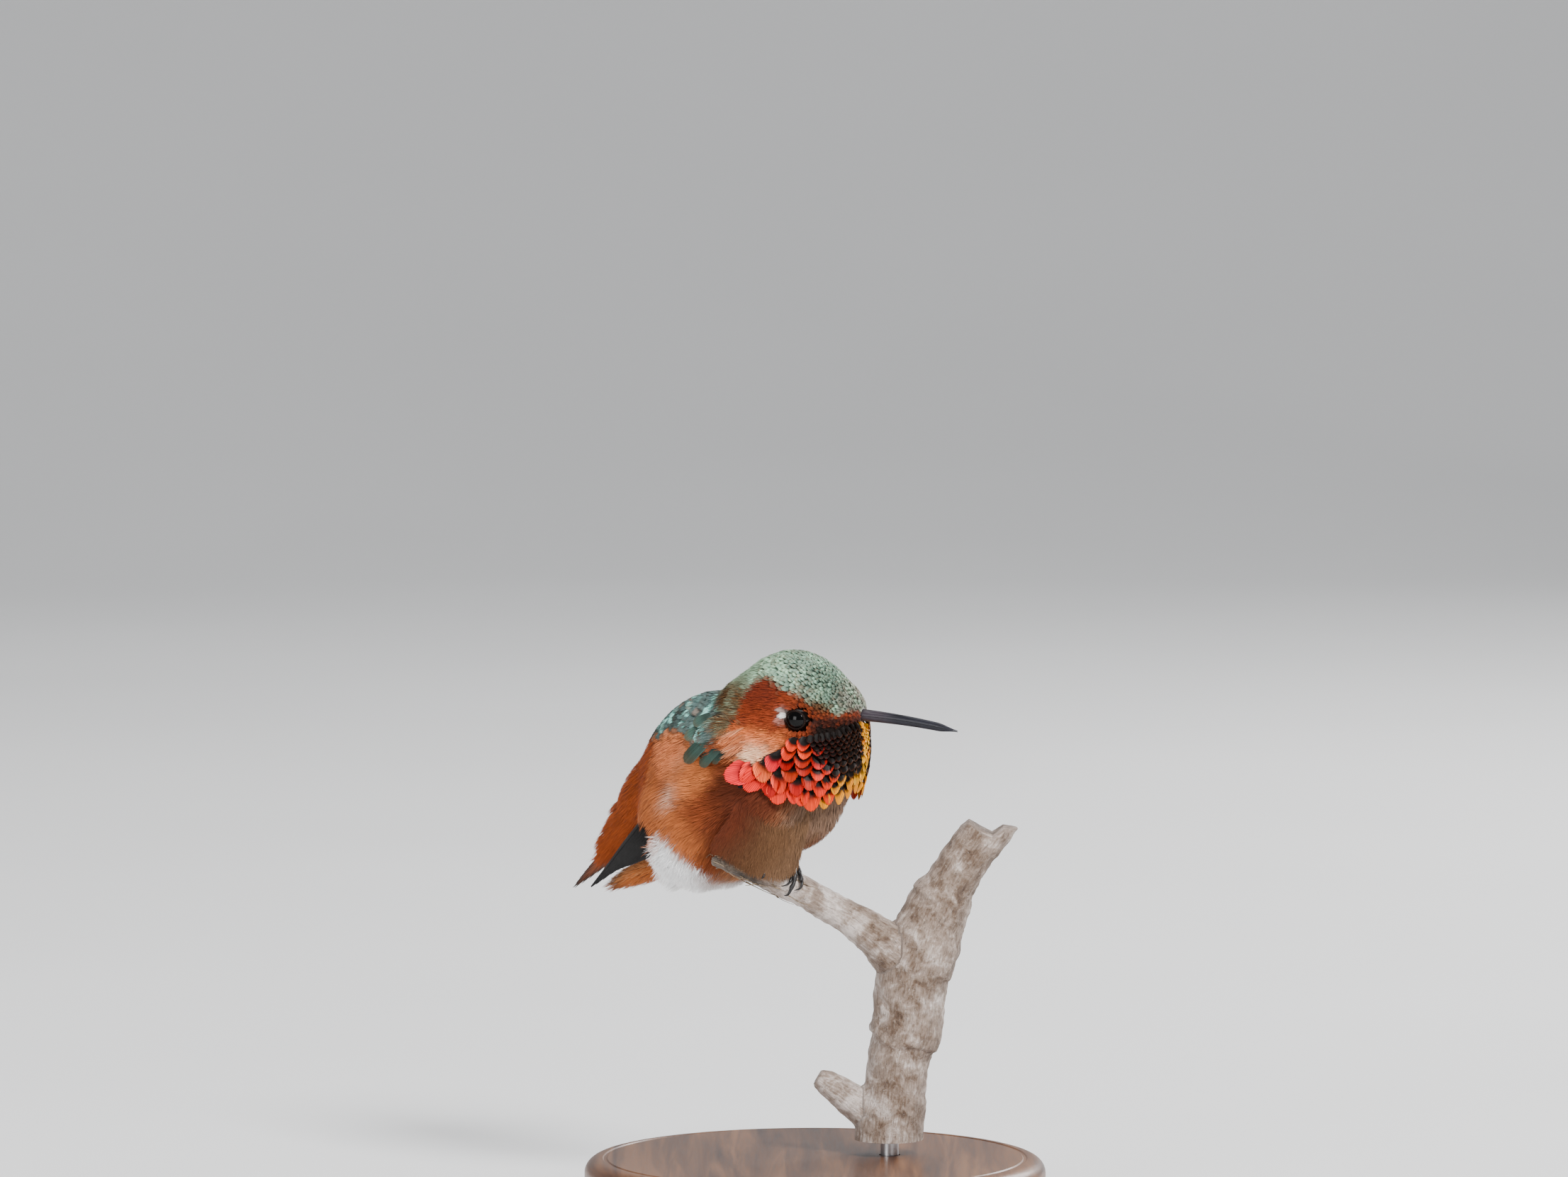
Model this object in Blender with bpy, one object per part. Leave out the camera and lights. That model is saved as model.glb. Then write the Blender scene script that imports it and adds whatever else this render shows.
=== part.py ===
"""Allen's hummingbird, an adult male, life-size, perched on a cut forked twig on a display stand.

Run with: blender --background --python part.py
Metres, +Z up. The origin is the centre of the stand's underside, and the bird faces +X,
turned towards -Y. Every part of the bird is placed in one of two frames, the trunk's and
the head's, in which X runs forwards, Y to the bird's left and Z to its back.
"""

import math

import bmesh
import bpy
from mathutils import Matrix, Vector

MM = 0.001
GAP = 0.3 * MM  # clearance between neighbouring solids
WELD = 0.002 * MM

# Stand: a turned base and the rod that holds the perch
BASE_HEIGHT = 8.0 * MM
BASE_PROFILE = ((36.8, 0.0), (38.0, 1.0), (38.0, 5.6), (37.2, 7.2), (35.4, 8.0))  # radius, height
ROD_RADIUS = 1.5 * MM
ROD_DEPTH = 5.0 * MM  # how far the rod enters the base and the stem

# The trunk's frame and the head's
TRUNK_CENTRE = Vector((-13.4, 8.0, 68.2)) * MM
TRUNK_YAW, TRUNK_PITCH = 40.0, 45.0
HEAD_CENTRE = Vector((-2.6, 0.0, 81.6)) * MM
HEAD_YAW, HEAD_PITCH = 22.0, 0.0

# Flesh with its plumage, as rounded masses: centre and half-sizes in mm, forwards, left, up.
# One with a sideways place is made on both sides.
TRUNK_MASSES = {
    "belly": ((-1.0, 0.0, 1.0), (17.0, 13.0, 14.6)),
    "breast": ((7.5, 0.0, -5.5), (11.5, 12.0, 12.0)),
    "flank": ((-4.5, 5.5, -1.0), (12.5, 8.4, 11.3)),
    "mantle": ((-1.0, 0.0, 6.9), (14.0, 10.0, 10.4)),
    "rump": ((-11.5, 0.0, 8.6), (11.5, 7.5, 7.6)),
    "tail_coverts": ((-19.5, 1.8, 9.9), (8.8, 3.8, 3.2)),
    "vent": ((-10.5, 3.0, -3.2), (7.5, 7.0, 7.3)),
}
HEAD_MASSES = {
    "skull": ((-0.8, 0.0, 0.6), (10.6, 8.0, 10.0)),
    "hindcrown": ((-5.0, 0.0, 1.0), (6.8, 6.6, 7.4)),
    "nape": ((-8.5, 0.0, -0.6), (6.2, 6.5, 6.9)),
    "brow": ((5.6, 0.0, 0.4), (6.6, 5.2, 5.8)),
    "cheek": ((-3.0, 3.5, -4.0), (7.5, 6.0, 6.0)),
    "throat": ((2.4, 0.0, -8.0), (8.0, 8.9, 8.5)),
    "neck": ((-5.0, 0.0, -7.0), (9.0, 10.2, 9.0)),
}
FLESH_VOXEL = 2.7 * MM
FLESH_SMOOTHING = 2

NECK_YAW, NECK_PITCH = 35.0, 35.0
NAPE_CUT = Vector((-12.4, 4.0, 87.0)) * MM  # on the cut between neck and head
NECK_LENGTH = 4.2 * MM

# Bill, measured along its exposed ridge
BILL_LENGTH = 15.9 * MM
BILL_ROOT = 12.0 * MM  # from the head's centre to the feathers' edge
BILL_HIDDEN = 4.0 * MM
BILL_HEIGHT = 0.25 * MM  # of its root above the head's centre
BILL_DROOP = 4.0  # degrees below the head's axis at the root
BILL_BEND = 0.9 * MM  # how much further its tip drops
BILL_WIDTH = 2.5 * MM
BILL_DEPTH = 2.0 * MM

# Eye
EYE_RADIUS = 2.2 * MM
EYE_PLACE = Vector((2.3, 5.85, -0.4)) * MM

# Gorget: a bib that wraps the throat and runs back to a corner on each side
GORGET_FRONT = 2.0 * MM  # centre of the rounded front, ahead of the head's centre
GORGET_REACH = 8.6 * MM  # from there forwards
GORGET_HALF_WIDTH = 9.6 * MM
GORGET_CORNER = 11.0 * MM  # the straight run back to the corner
GORGET_FLARE = 1.5 * MM
GORGET_THICKNESS = 1.6 * MM
GORGET_STEPS, GORGET_ROWS = 18, 4
# share of the way from the middle to the corner, top edge, bottom edge
GORGET_EDGES = (
    (0.0, -1.2, -12.6),
    (0.3, -2.4, -15.2),
    (0.45, -3.2, -15.6),
    (0.6, -4.2, -14.6),
    (0.8, -7.4, -12.6),
    (1.0, -9.4, -11.3),
)

# Wings: the folded wing's middle line from the wrist to the tip, forwards, outwards, up
WING_LINE = (
    (15.0, 9.2, 3.0),
    (8.5, 11.8, 3.2),
    (2.0, 13.0, 3.4),
    (-5.0, 12.6, 3.2),
    (-12.0, 10.9, 2.4),
    (-18.5, 8.7, 1.0),
)
WING_THICKNESS, WING_HEIGHT = 0.95 * MM, 3.7 * MM  # half-sizes of the arm and its coverts
PRIMARY_REACHES = (1.0, 0.91, 0.8)

# Tail and the coverts below it
TAIL_LENGTH = 26.0 * MM
TAIL_ROOT = Vector((-10.5, 0.0, 9.0)) * MM
TAIL_LIFT = 0.0  # degrees that the tail is raised above the trunk's line
TAIL_TURN = 5.0  # and turned to the bird's left
TAIL_ROLL = 14.0  # and its right side raised
TAIL_SPLAY = 2.2  # between neighbouring feathers
UNDERTAIL_LENGTH = 14.5 * MM
UNDERTAIL_ROOT = Vector((-13.5, 0.0, -1.2)) * MM
UNDERTAIL_LIFT = 24.0
FEATHER_THICKNESS = 0.6 * MM

# Feet: where each grips the twig, as a place along it, and how its toes are set out
FEET = {"left": 0.63, "right": 0.77}
TARSUS_LENGTH = 4.6 * MM
TOE_RADIUS = 0.34 * MM
TOE_SPACING = 0.85 * MM

# Perch: branches as sideways, away, up and radius in mm
STEM_LINE = (  # from below the sawn foot to above the break
    (12.2, 3.0, 7.5, 5.8),
    (12.3, 3.0, 12.5, 5.7),
    (13.4, 3.2, 19.6, 5.1),
    (14.1, 3.4, 25.2, 5.2),
    (15.2, 3.5, 29.5, 5.8),
    (15.9, 3.6, 36.4, 5.9),
    (17.8, 3.8, 42.5, 6.2),
    (19.8, 4.0, 48.0, 5.3),
    (22.9, 4.0, 54.2, 4.1),
    (26.3, 4.0, 59.2, 3.9),
    (30.5, 4.0, 65.0, 4.1),
)
TWIG_LINE = (  # from the stem to the frayed end under the bird
    (13.0, 2.6, 42.0, 4.4),
    (9.0, 1.6, 45.2, 3.2),
    (3.5, 0.4, 49.0, 2.6),
    (-3.5, -1.4, 53.0, 2.5),
    (-10.0, -3.4, 55.6, 2.2),
    (-16.8, -5.2, 57.9, 1.45),
)
STUB_LINE = (
    (10.5, 3.1, 13.8, 3.6),
    (6.4, 2.9, 16.7, 2.8),
    (3.2, 2.7, 19.0, 2.3),
    (0.4, 2.5, 20.9, 1.7),
)
STEM_FOOT = Vector((12.3, 3.0, 10.6)) * MM
BREAK_EDGE = ((20.0, 60.2), (25.4, 63.2), (27.4, 61.8), (29.2, 60.9), (31.0, 62.1), (33.2, 62.1), (38.0, 60.7))
PERCH_VOXEL = 1.1 * MM
PERCH_THINNING = 0.17  # share of its faces that are kept


def frame(origin, yaw, pitch):
    """A frame turned by yaw towards -Y and raised by pitch, in degrees."""
    turn = Matrix.Rotation(math.radians(-yaw), 4, "Z") @ Matrix.Rotation(math.radians(-pitch), 4, "Y")
    return Matrix.Translation(origin) @ turn


TRUNK = frame(TRUNK_CENTRE, TRUNK_YAW, TRUNK_PITCH)
HEAD = frame(HEAD_CENTRE, HEAD_YAW, HEAD_PITCH)
SIDES = {"left": 1.0, "right": -1.0}


def lerp(a, b, t):
    return a + (b - a) * t


def smooth(t):
    """An ease from 0 to 1."""
    t = min(max(t, 0.0), 1.0)
    return t * t * (3 - 2 * t)


def read_table(rows, t):
    """The values of rows, each led by its place, at place t, eased between rows."""
    for low, high in zip(rows, rows[1:]):
        if t <= high[0]:
            share = (t - low[0]) / (high[0] - low[0])
            return [lerp(a, b, share) for a, b in zip(low[1:], high[1:])]
    return list(rows[-1][1:])


def through(points, i, t):
    """A point between points i and i + 1 on the smooth curve through them all."""
    last = len(points) - 1
    a, b, c, d = (points[min(max(k, 0), last)] for k in range(i - 1, i + 3))
    return 0.5 * (
        2 * b + (c - a) * t + (2 * a - 5 * b + 4 * c - d) * t**2 + (3 * b - a - 3 * c + d) * t**3
    )


# Meshes and materials


def material(name, colour, roughness, metallic=0.0):
    made = bpy.data.materials.new(name)
    made.use_nodes = True
    shader = made.node_tree.nodes["Principled BSDF"]
    shader.inputs["Base Color"].default_value = (*colour, 1.0)
    shader.inputs["Roughness"].default_value = roughness
    shader.inputs["Metallic"].default_value = metallic
    made.diffuse_color = (*colour, 1.0)
    return made


def add_object(name, bm, finish=None, place=None):
    """An object from a bmesh, which is freed. place is its matrix, kept on the object."""
    bmesh.ops.recalc_face_normals(bm, faces=bm.faces)
    bmesh.ops.triangulate(bm, faces=bm.faces)
    mesh = bpy.data.meshes.new(name)
    bm.to_mesh(mesh)
    bm.free()
    made = bpy.data.objects.new(name, mesh)
    bpy.context.scene.collection.objects.link(made)
    if place is not None:
        made.matrix_world = place
    if finish is not None:
        mesh.materials.append(finish)
    mesh.shade_smooth()
    mesh.set_sharp_from_angle(angle=math.radians(40))
    return made


def cutter(name, bm, place=None):
    """A guide object that isn't part of the model."""
    made = add_object(name, bm, place=place)
    made.hide_render = True
    made.display_type = "WIRE"
    return made


def boolean(target, operation, tool):
    step = target.modifiers.new(tool.name, "BOOLEAN")
    step.operation = operation
    step.object = tool
    step.solver = "EXACT"


def freeze(made, drop=()):
    """Applies the object's modifiers and removes the guides that they used."""
    bpy.context.view_layer.update()
    graph = bpy.context.evaluated_depsgraph_get()
    baked = bpy.data.meshes.new_from_object(made.evaluated_get(graph))
    weld(baked)
    made.modifiers.clear()
    made.data = baked
    for tool in drop:
        bpy.data.objects.remove(tool)
    return made


def weld(mesh):
    """Closes the hairline seams that a Boolean can leave."""
    bm = bmesh.new()
    bm.from_mesh(mesh)
    bmesh.ops.remove_doubles(bm, verts=bm.verts, dist=WELD)
    bmesh.ops.dissolve_degenerate(bm, edges=bm.edges, dist=WELD)
    bm.to_mesh(mesh)
    bm.free()


def hull_cutter(name, makers):
    """One plain cutter round several guides, each given by a function that makes it."""
    bm = bmesh.new()
    for make in makers:
        guide = make()
        for vert in guide.data.vertices:
            bm.verts.new(guide.matrix_world @ vert.co)
        bpy.data.objects.remove(guide)
    bmesh.ops.remove_doubles(bm, verts=bm.verts, dist=0.5 * GAP)
    bmesh.ops.convex_hull(bm, input=bm.verts)
    inside = [vert for vert in bm.verts if not vert.link_faces]
    bmesh.ops.delete(bm, geom=inside, context="VERTS")
    return cutter(name, bm)


def rings_to_solid(rings):
    """A closed bmesh through rings of equally many points, both ends filled."""
    bm = bmesh.new()
    loops = [[bm.verts.new(point) for point in ring] for ring in rings]
    for a, b in zip(loops, loops[1:]):
        for i in range(len(a)):
            j = (i + 1) % len(a)
            bm.faces.new((a[i], a[j], b[j], b[i]))
    bm.faces.new(loops[0])
    bm.faces.new(loops[-1])
    return bm


def slab(columns, rows, spot):
    """A closed sheet: spot gives its points by column, row and face, which is -1 or 1."""
    bm = bmesh.new()
    outer, inner = (
        [[bm.verts.new(spot(i, j, face)) for j in range(rows)] for i in range(columns)]
        for face in (-1, 1)
    )
    for i in range(columns - 1):
        for j in range(rows - 1):
            for skin in (outer, inner):
                bm.faces.new((skin[i][j], skin[i + 1][j], skin[i + 1][j + 1], skin[i][j + 1]))
        for j in (0, rows - 1):
            bm.faces.new((outer[i][j], outer[i + 1][j], inner[i + 1][j], inner[i][j]))
    for j in range(rows - 1):
        for i in (0, columns - 1):
            bm.faces.new((outer[i][j], outer[i][j + 1], inner[i][j + 1], inner[i][j]))
    return bm


def tube_rings(path, sizes, sides, up=Vector((0, 0, 1))):
    """Rings along a path. sizes gives each ring's half-width and half-height, and up leans
    its height. The rings stand square to the path."""
    rings = []
    for i, (point, (across, high)) in enumerate(zip(path, sizes)):
        before, after = path[max(i - 1, 0)], path[min(i + 1, len(path) - 1)]
        along = (after - before).normalized()
        side = up.cross(along).normalized()
        top = along.cross(side)
        ring = []
        for k in range(sides):
            angle = 2 * math.pi * k / sides
            ring.append(point + side * (across * math.cos(angle)) + top * (high * math.sin(angle)))
        rings.append(ring)
    return rings


def tube(path, sizes, sides, up=Vector((0, 0, 1))):
    return rings_to_solid(tube_rings(path, sizes, sides, up))


def both_sides(masses):
    for centre, radii in masses.values():
        yield centre, radii
        if centre[1]:
            yield (centre[0], -centre[1], centre[2]), radii


# Flesh


def make_flesh():
    """The whole bird but for bill, eyes, wings, tail and legs, blended from its masses."""
    bm = bmesh.new()
    for where, masses in ((TRUNK, TRUNK_MASSES), (HEAD, HEAD_MASSES)):
        for centre, radii in both_sides(masses):
            place = where @ Matrix.Translation(Vector(centre) * MM) @ Matrix.Diagonal((*radii, 1))
            bmesh.ops.create_uvsphere(bm, u_segments=28, v_segments=18, radius=MM, matrix=place)
    flesh = add_object("flesh", bm)
    remesh = flesh.modifiers.new("blend", "REMESH")
    remesh.mode = "VOXEL"
    remesh.voxel_size = FLESH_VOXEL
    soften = flesh.modifiers.new("soften", "SMOOTH")
    soften.factor = 0.5
    soften.iterations = FLESH_SMOOTHING
    return freeze(flesh)


def slice_solid(source, name, planes, finish):
    """The part of a solid on the inner side of each plane, its cut faces filled."""
    bm = bmesh.new()
    bm.from_mesh(source.data)
    for point, normal in planes:
        everything = bm.verts[:] + bm.edges[:] + bm.faces[:]
        cut = bmesh.ops.bisect_plane(
            bm, geom=everything, dist=0.02 * MM, plane_co=point, plane_no=normal, clear_outer=True
        )
        rim = [e for e in cut["geom_cut"] if isinstance(e, bmesh.types.BMEdge)]
        bmesh.ops.triangle_fill(bm, edges=rim, use_beauty=True, use_dissolve=False)
    return add_object(name, bm, finish)


def divide_flesh(flesh, plumage):
    """Head, neck and trunk, cut apart by two thin slices across the neck."""
    across = frame(Vector(), NECK_YAW, NECK_PITCH).to_3x3() @ Vector((1, 0, 0))
    upper = NAPE_CUT
    lower = NAPE_CUT - across * NECK_LENGTH
    slit = across * (GAP / 2)
    pieces = [
        slice_solid(flesh, "head", [(upper + slit, -across)], plumage["rufous"]),
        slice_solid(flesh, "neck", [(upper - slit, across), (lower + slit, -across)], plumage["green"]),
        slice_solid(flesh, "trunk", [(lower - slit, across)], plumage["rufous"]),
    ]
    bpy.data.objects.remove(flesh)
    return pieces


# Head


def bill_line(share):
    """A point on the bill's middle line, from the hidden root at 0 to the tip at 1."""
    length = BILL_HIDDEN + BILL_LENGTH
    run = share * length
    angle = math.radians(BILL_DROOP)
    bend = BILL_BEND * (max(run - BILL_HIDDEN, 0) / BILL_LENGTH) ** 2.2
    start = BILL_ROOT - BILL_HIDDEN
    drop = run * math.sin(angle) + bend
    return Vector((start + run * math.cos(angle), 0, BILL_HEIGHT - drop))


def make_mandible(name, side, finish, grow=0.0):
    """Half of the bill: side is 1 for the upper mandible and -1 for the lower."""
    steps, sides = 11, 7
    rings = []
    for i in range(steps):
        share = i / (steps - 1)
        taper = 1 - 0.42 * share - 0.46 * smooth((share - 0.82) / 0.18)
        across = BILL_WIDTH / 2 * (0.55 + 0.45 * (1 - smooth(share / 0.5))) * taper + grow
        deep = BILL_DEPTH / 2 * taper + grow
        middle = bill_line(share)
        ring = []
        for k in range(sides):
            angle = math.pi * k / (sides - 1)
            height = max(deep * math.sin(angle), 0.0) + GAP / 2 - grow
            ring.append(middle + Vector((0, across * math.cos(angle), side * height)))
        rings.append(ring)
    return add_object(name, rings_to_solid(rings), finish, HEAD)


def make_bill_cutter():
    """The whole bill's hidden root, a gap larger all round."""
    path = [bill_line(share) for share in (-0.03, 0.12, 0.25, 0.38)]
    sizes = [(BILL_WIDTH / 2 + GAP, BILL_DEPTH / 2 + 1.6 * GAP)] * len(path)
    return cutter("bill_cut", tube(path, sizes, 20), HEAD)


def make_eye(side, name, finish, grow=0.0):
    bm = bmesh.new()
    where = Matrix.Translation(Vector((EYE_PLACE.x, side * EYE_PLACE.y, EYE_PLACE.z)))
    bmesh.ops.create_uvsphere(bm, u_segments=12, v_segments=8, radius=EYE_RADIUS + grow, matrix=where)
    return add_object(name, bm, finish, HEAD)


def gorget_point(share, height, depth):
    """A point of the bib. share runs from -1 at the right corner to 1 at the left, height
    from 0 at the top edge to 1 at the bottom, and depth inwards from the outer face."""
    bow = 0.6  # share of the way at which the rounded front ends
    away = abs(share)
    side = 1.0 if share >= 0 else -1.0
    top, bottom = (v * MM for v in read_table(GORGET_EDGES, away))
    back = max(away - bow, 0) / (1 - bow)
    angle = math.pi / 2 * min(away / bow, 1)
    front = 1 - smooth(away / bow)
    swell = 0.8 * MM * math.sin(math.pi * height) - depth
    swell += front * (0.9 * MM * (1 - height) - 1.0 * MM * height)
    forwards = GORGET_FRONT + (GORGET_REACH + swell) * math.cos(angle) - GORGET_CORNER * back
    sideways = (GORGET_HALF_WIDTH + swell) * math.sin(angle) + GORGET_FLARE * back
    return Vector((forwards, side * sideways, lerp(top, bottom, height)))


def make_gorget(name, finish, grow=0.0):
    def spot(column, row, face):
        share = (2 * column / GORGET_STEPS - 1) * (1 + grow / (18 * MM))
        edge = grow / (10 * MM)
        height = lerp(-edge, 1 + edge, row / GORGET_ROWS)
        return gorget_point(share, height, -grow if face < 0 else GORGET_THICKNESS + grow)

    return add_object(name, slab(GORGET_STEPS + 1, GORGET_ROWS + 1, spot), finish, HEAD)


# Wings and tail


def blade(path, half_widths, thickness, normal):
    """A flat vane along a path: half_widths gives its two edges at each point."""
    rings = []
    for i, (point, (inner, outer)) in enumerate(zip(path, half_widths)):
        along = (path[min(i + 1, len(path) - 1)] - path[max(i - 1, 0)]).normalized()
        side = normal.cross(along).normalized()
        lift = normal * (thickness / 2)
        rings.append(
            [
                point + side * outer,
                point + side * (outer * 0.55) + lift,
                point - side * (inner * 0.55) + lift,
                point - side * inner,
                point - side * (inner * 0.55) - lift,
                point + side * (outer * 0.55) - lift,
            ]
        )
    return rings_to_solid(rings)


def wing_point(share, side):
    """A point on the folded wing's middle line, from the wrist at 0 to the tip at 1."""
    spot = share * (len(WING_LINE) - 1)
    i = min(int(spot), len(WING_LINE) - 2)
    point = through([Vector(row) for row in WING_LINE], i, spot - i)
    return Vector((point.x, side * point.y, point.z)) * MM


def make_wing(side, name, finish, grow=0.0):
    """The arm and its coverts: a flattened spindle lying on the trunk's side."""
    steps = 8
    path, sizes = [], []
    for i in range(steps):
        share = i / (steps - 1)
        path.append(wing_point(share * 0.47, side))
        bulge = math.sin(math.pi * (0.12 + 0.86 * share)) ** 0.6
        sizes.append((WING_THICKNESS * bulge + grow, WING_HEIGHT * bulge + grow))
    if grow:
        path[0] += Vector((grow, 0, 0))
        path[-1] -= Vector((grow, 0, 0))
    return add_object(name, tube(path, sizes, 12), finish, TRUNK)


def make_primaries(side, name, finish, grow=0.0):
    """The long flight feathers beyond the coverts, stepped, in one bundle."""
    vanes = []
    for n, reach in enumerate(PRIMARY_REACHES):
        steps = 6
        path, widths = [], []
        for i in range(steps):
            share = i / (steps - 1)
            point = wing_point(lerp(0.5, reach, share), side)
            out = Vector((0, side, 0.15)).normalized()
            point += Vector((0, 0, -1.2 * MM * n * (1 - 0.5 * share))) + out * (0.15 * MM * n)
            path.append(point)
            half = 1.5 * MM * (1 - 0.35 * share) * (1 - smooth((share - 0.7) / 0.32)) + 0.25 * MM
            widths.append((half + grow, half + grow))
        if grow:
            path[0] += Vector((2 * grow, 0, 0))
            path[-1] -= Vector((grow, 0, 0))
        normal = Vector((0.12, side, 0.3)).normalized()
        vanes.append(cutter(f"{name}_{n}", blade(path, widths, FEATHER_THICKNESS + 2 * grow, normal), TRUNK))
    return join_solids(name, vanes, finish)


def join_solids(name, pieces, finish):
    """One solid from overlapping ones, by Boolean unions."""
    whole = pieces[0]
    for piece in pieces[1:]:
        boolean(whole, "UNION", piece)
    freeze(whole, drop=pieces[1:])
    whole.name = name
    whole.hide_render = False
    whole.display_type = "TEXTURED"
    whole.data.name = name
    whole.data.materials.clear()
    if finish is not None:
        whole.data.materials.append(finish)
    return whole


def tail_frame():
    lift = Matrix.Rotation(math.radians(TAIL_LIFT), 4, "Y")
    turn = Matrix.Rotation(math.radians(-TAIL_TURN), 4, "Z")
    roll = Matrix.Rotation(math.radians(-TAIL_ROLL), 4, "X")
    return TRUNK @ Matrix.Translation(TAIL_ROOT) @ lift @ turn @ roll


def make_tail(name, finish, grow=0.0):
    """The fan of feathers as one slab with a scalloped end, three columns to a feather."""
    places = (-5, -4, -3, -2, -1, 1, 2, 3, 4, 5)
    rows = 4

    def spot(column, row, face):
        place, part = places[column // 3], column % 3 - 1
        rank, side = abs(place), 1.0 if place > 0 else -1.0
        outermost = rank == 5 and part == side
        splay = math.radians(side * TAIL_SPLAY * (rank - 0.5) + part * TAIL_SPLAY * 0.44)
        length = TAIL_LENGTH * (1 - 0.015 * (rank - 1) ** 1.2) * (1 - 0.06 * abs(part))
        run = length * row / rows + (grow if row == rows else 0)
        across = (side * 0.4 * (rank - 0.5) + part * 0.17) * MM + (side * grow if outermost else 0)
        level = (-0.28 * (rank - 1) - 0.1 * part * side) * MM
        root = grow if row == 0 else 0
        height = level - face * (FEATHER_THICKNESS / 2 + grow)
        return Vector((root - run * math.cos(splay), across + run * math.sin(splay), height))

    return add_object(name, slab(len(places) * 3, rows + 1, spot), finish, tail_frame())


def make_undertail(name, finish, grow=0.0):
    """The long coverts below the tail: two overlapping tongues from the vent."""
    where = TRUNK @ Matrix.Translation(UNDERTAIL_ROOT)
    where = where @ Matrix.Rotation(math.radians(UNDERTAIL_LIFT), 4, "Y")
    tongues = []
    for i, (sideways, length) in enumerate(((1.5, 0.94), (-1.5, 1.0))):
        steps = 7
        path, sizes = [], []
        for k in range(steps):
            share = k / (steps - 1)
            path.append(Vector((-share * length * UNDERTAIL_LENGTH, sideways * MM, 0)))
            taper = 1 - 0.85 * smooth((share - 0.45) / 0.57)
            sizes.append((2.5 * MM * taper + grow, 1.35 * MM * taper + grow))
        if grow:
            path[0] += Vector((grow, 0, 0))
        tongues.append(cutter(f"{name}_{i}", tube(path, sizes, 10), where))
    return join_solids(name, tongues, finish)


# Perch and feet


def branch_path(line, detail=4):
    """A smooth path and its radii through the points of a branch."""
    points = [Vector(row[:3]) * MM for row in line]
    radii = [row[3] * MM for row in line]
    path, sizes = [], []
    last = len(line) - 1
    for i in range(last):
        for j in range(detail + (i == last - 1)):
            path.append(through(points, i, j / detail))
            sizes.append(lerp(radii[i], radii[i + 1], smooth(j / detail)))
    return path, sizes


def make_perch(finish):
    """The forked stem: its branches blended into one, sawn flat below and broken above."""
    bm = bmesh.new()
    for line in (STEM_LINE, TWIG_LINE, STUB_LINE):
        path, radii = branch_path(line)
        solid = tube(path, [(r, r) for r in radii], 18, up=Vector((0.1, 1, 0)))
        piece = bpy.data.meshes.new("branch")
        solid.to_mesh(piece)
        solid.free()
        bm.from_mesh(piece)
        bpy.data.meshes.remove(piece)
    blend = add_object("perch_blend", bm)
    remesh = blend.modifiers.new("blend", "REMESH")
    remesh.mode = "VOXEL"
    remesh.voxel_size = PERCH_VOXEL
    soften = blend.modifiers.new("soften", "SMOOTH")
    soften.iterations = 2
    thin = blend.modifiers.new("thin", "DECIMATE")
    thin.ratio = PERCH_THINNING
    freeze(blend)
    perch = slice_solid(blend, "perch", [(STEM_FOOT, Vector((0, 0, -1)))], finish)
    bpy.data.objects.remove(blend)

    bore = [STEM_FOOT - Vector((0, 0, MM)), STEM_FOOT + Vector((0, 0, ROD_DEPTH + GAP))]
    across = [(ROD_RADIUS + GAP, ROD_RADIUS + GAP)] * 2
    tools = [cutter("stem_bore", tube(bore, across, 24, up=Vector((0, 1, 0)))), make_break()]
    for tool in tools:
        boolean(perch, "DIFFERENCE", tool)
    return freeze(perch, drop=tools)


def make_break():
    """A block whose lower face is the jagged line of the broken top, leaning a little back."""
    rings = []
    for away, drop in ((-6.0, 0.8), (4.0, 0.0), (12.0, -0.6)):
        jagged = [Vector((x, away, z - drop)) * MM for x, z in BREAK_EDGE]
        lid = [Vector((x, away, 80.0)) * MM for x in (BREAK_EDGE[-1][0], BREAK_EDGE[0][0])]
        rings.append(jagged + lid)
    return cutter("stem_break", rings_to_solid(rings))


def twig_place(share):
    """Centre, direction and radius of the twig at a share of its way."""
    path, radii = branch_path(TWIG_LINE)
    spot = share * (len(path) - 1)
    i = int(spot)
    along = (path[i + 1] - path[i]).normalized()
    return path[i].lerp(path[i + 1], spot - i), along, lerp(radii[i], radii[i + 1], spot - i)


def foot_axes(along):
    """Upwards and forwards, square to the twig."""
    rise = Vector((0, 0.25, 1))
    rise = (rise - along * along.dot(rise)).normalized()
    front = along.cross(rise)
    return rise, front if front.y < 0 else -front


def make_tarsus(word, name, grow=0.0):
    centre, along, radius = twig_place(FEET[word])
    rise, front = foot_axes(along)
    ring = radius + TOE_RADIUS + GAP
    hip = centre + rise * (ring + TARSUS_LENGTH + grow) - front * (1.6 * MM)
    path = [centre + rise * (ring - 0.15 * MM), centre + rise * (ring + 1.2 * MM), hip]
    thick = TOE_RADIUS * 1.5 + grow
    return cutter(name, tube(path, [(thick, thick)] * 3, 7, up=along))


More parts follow.
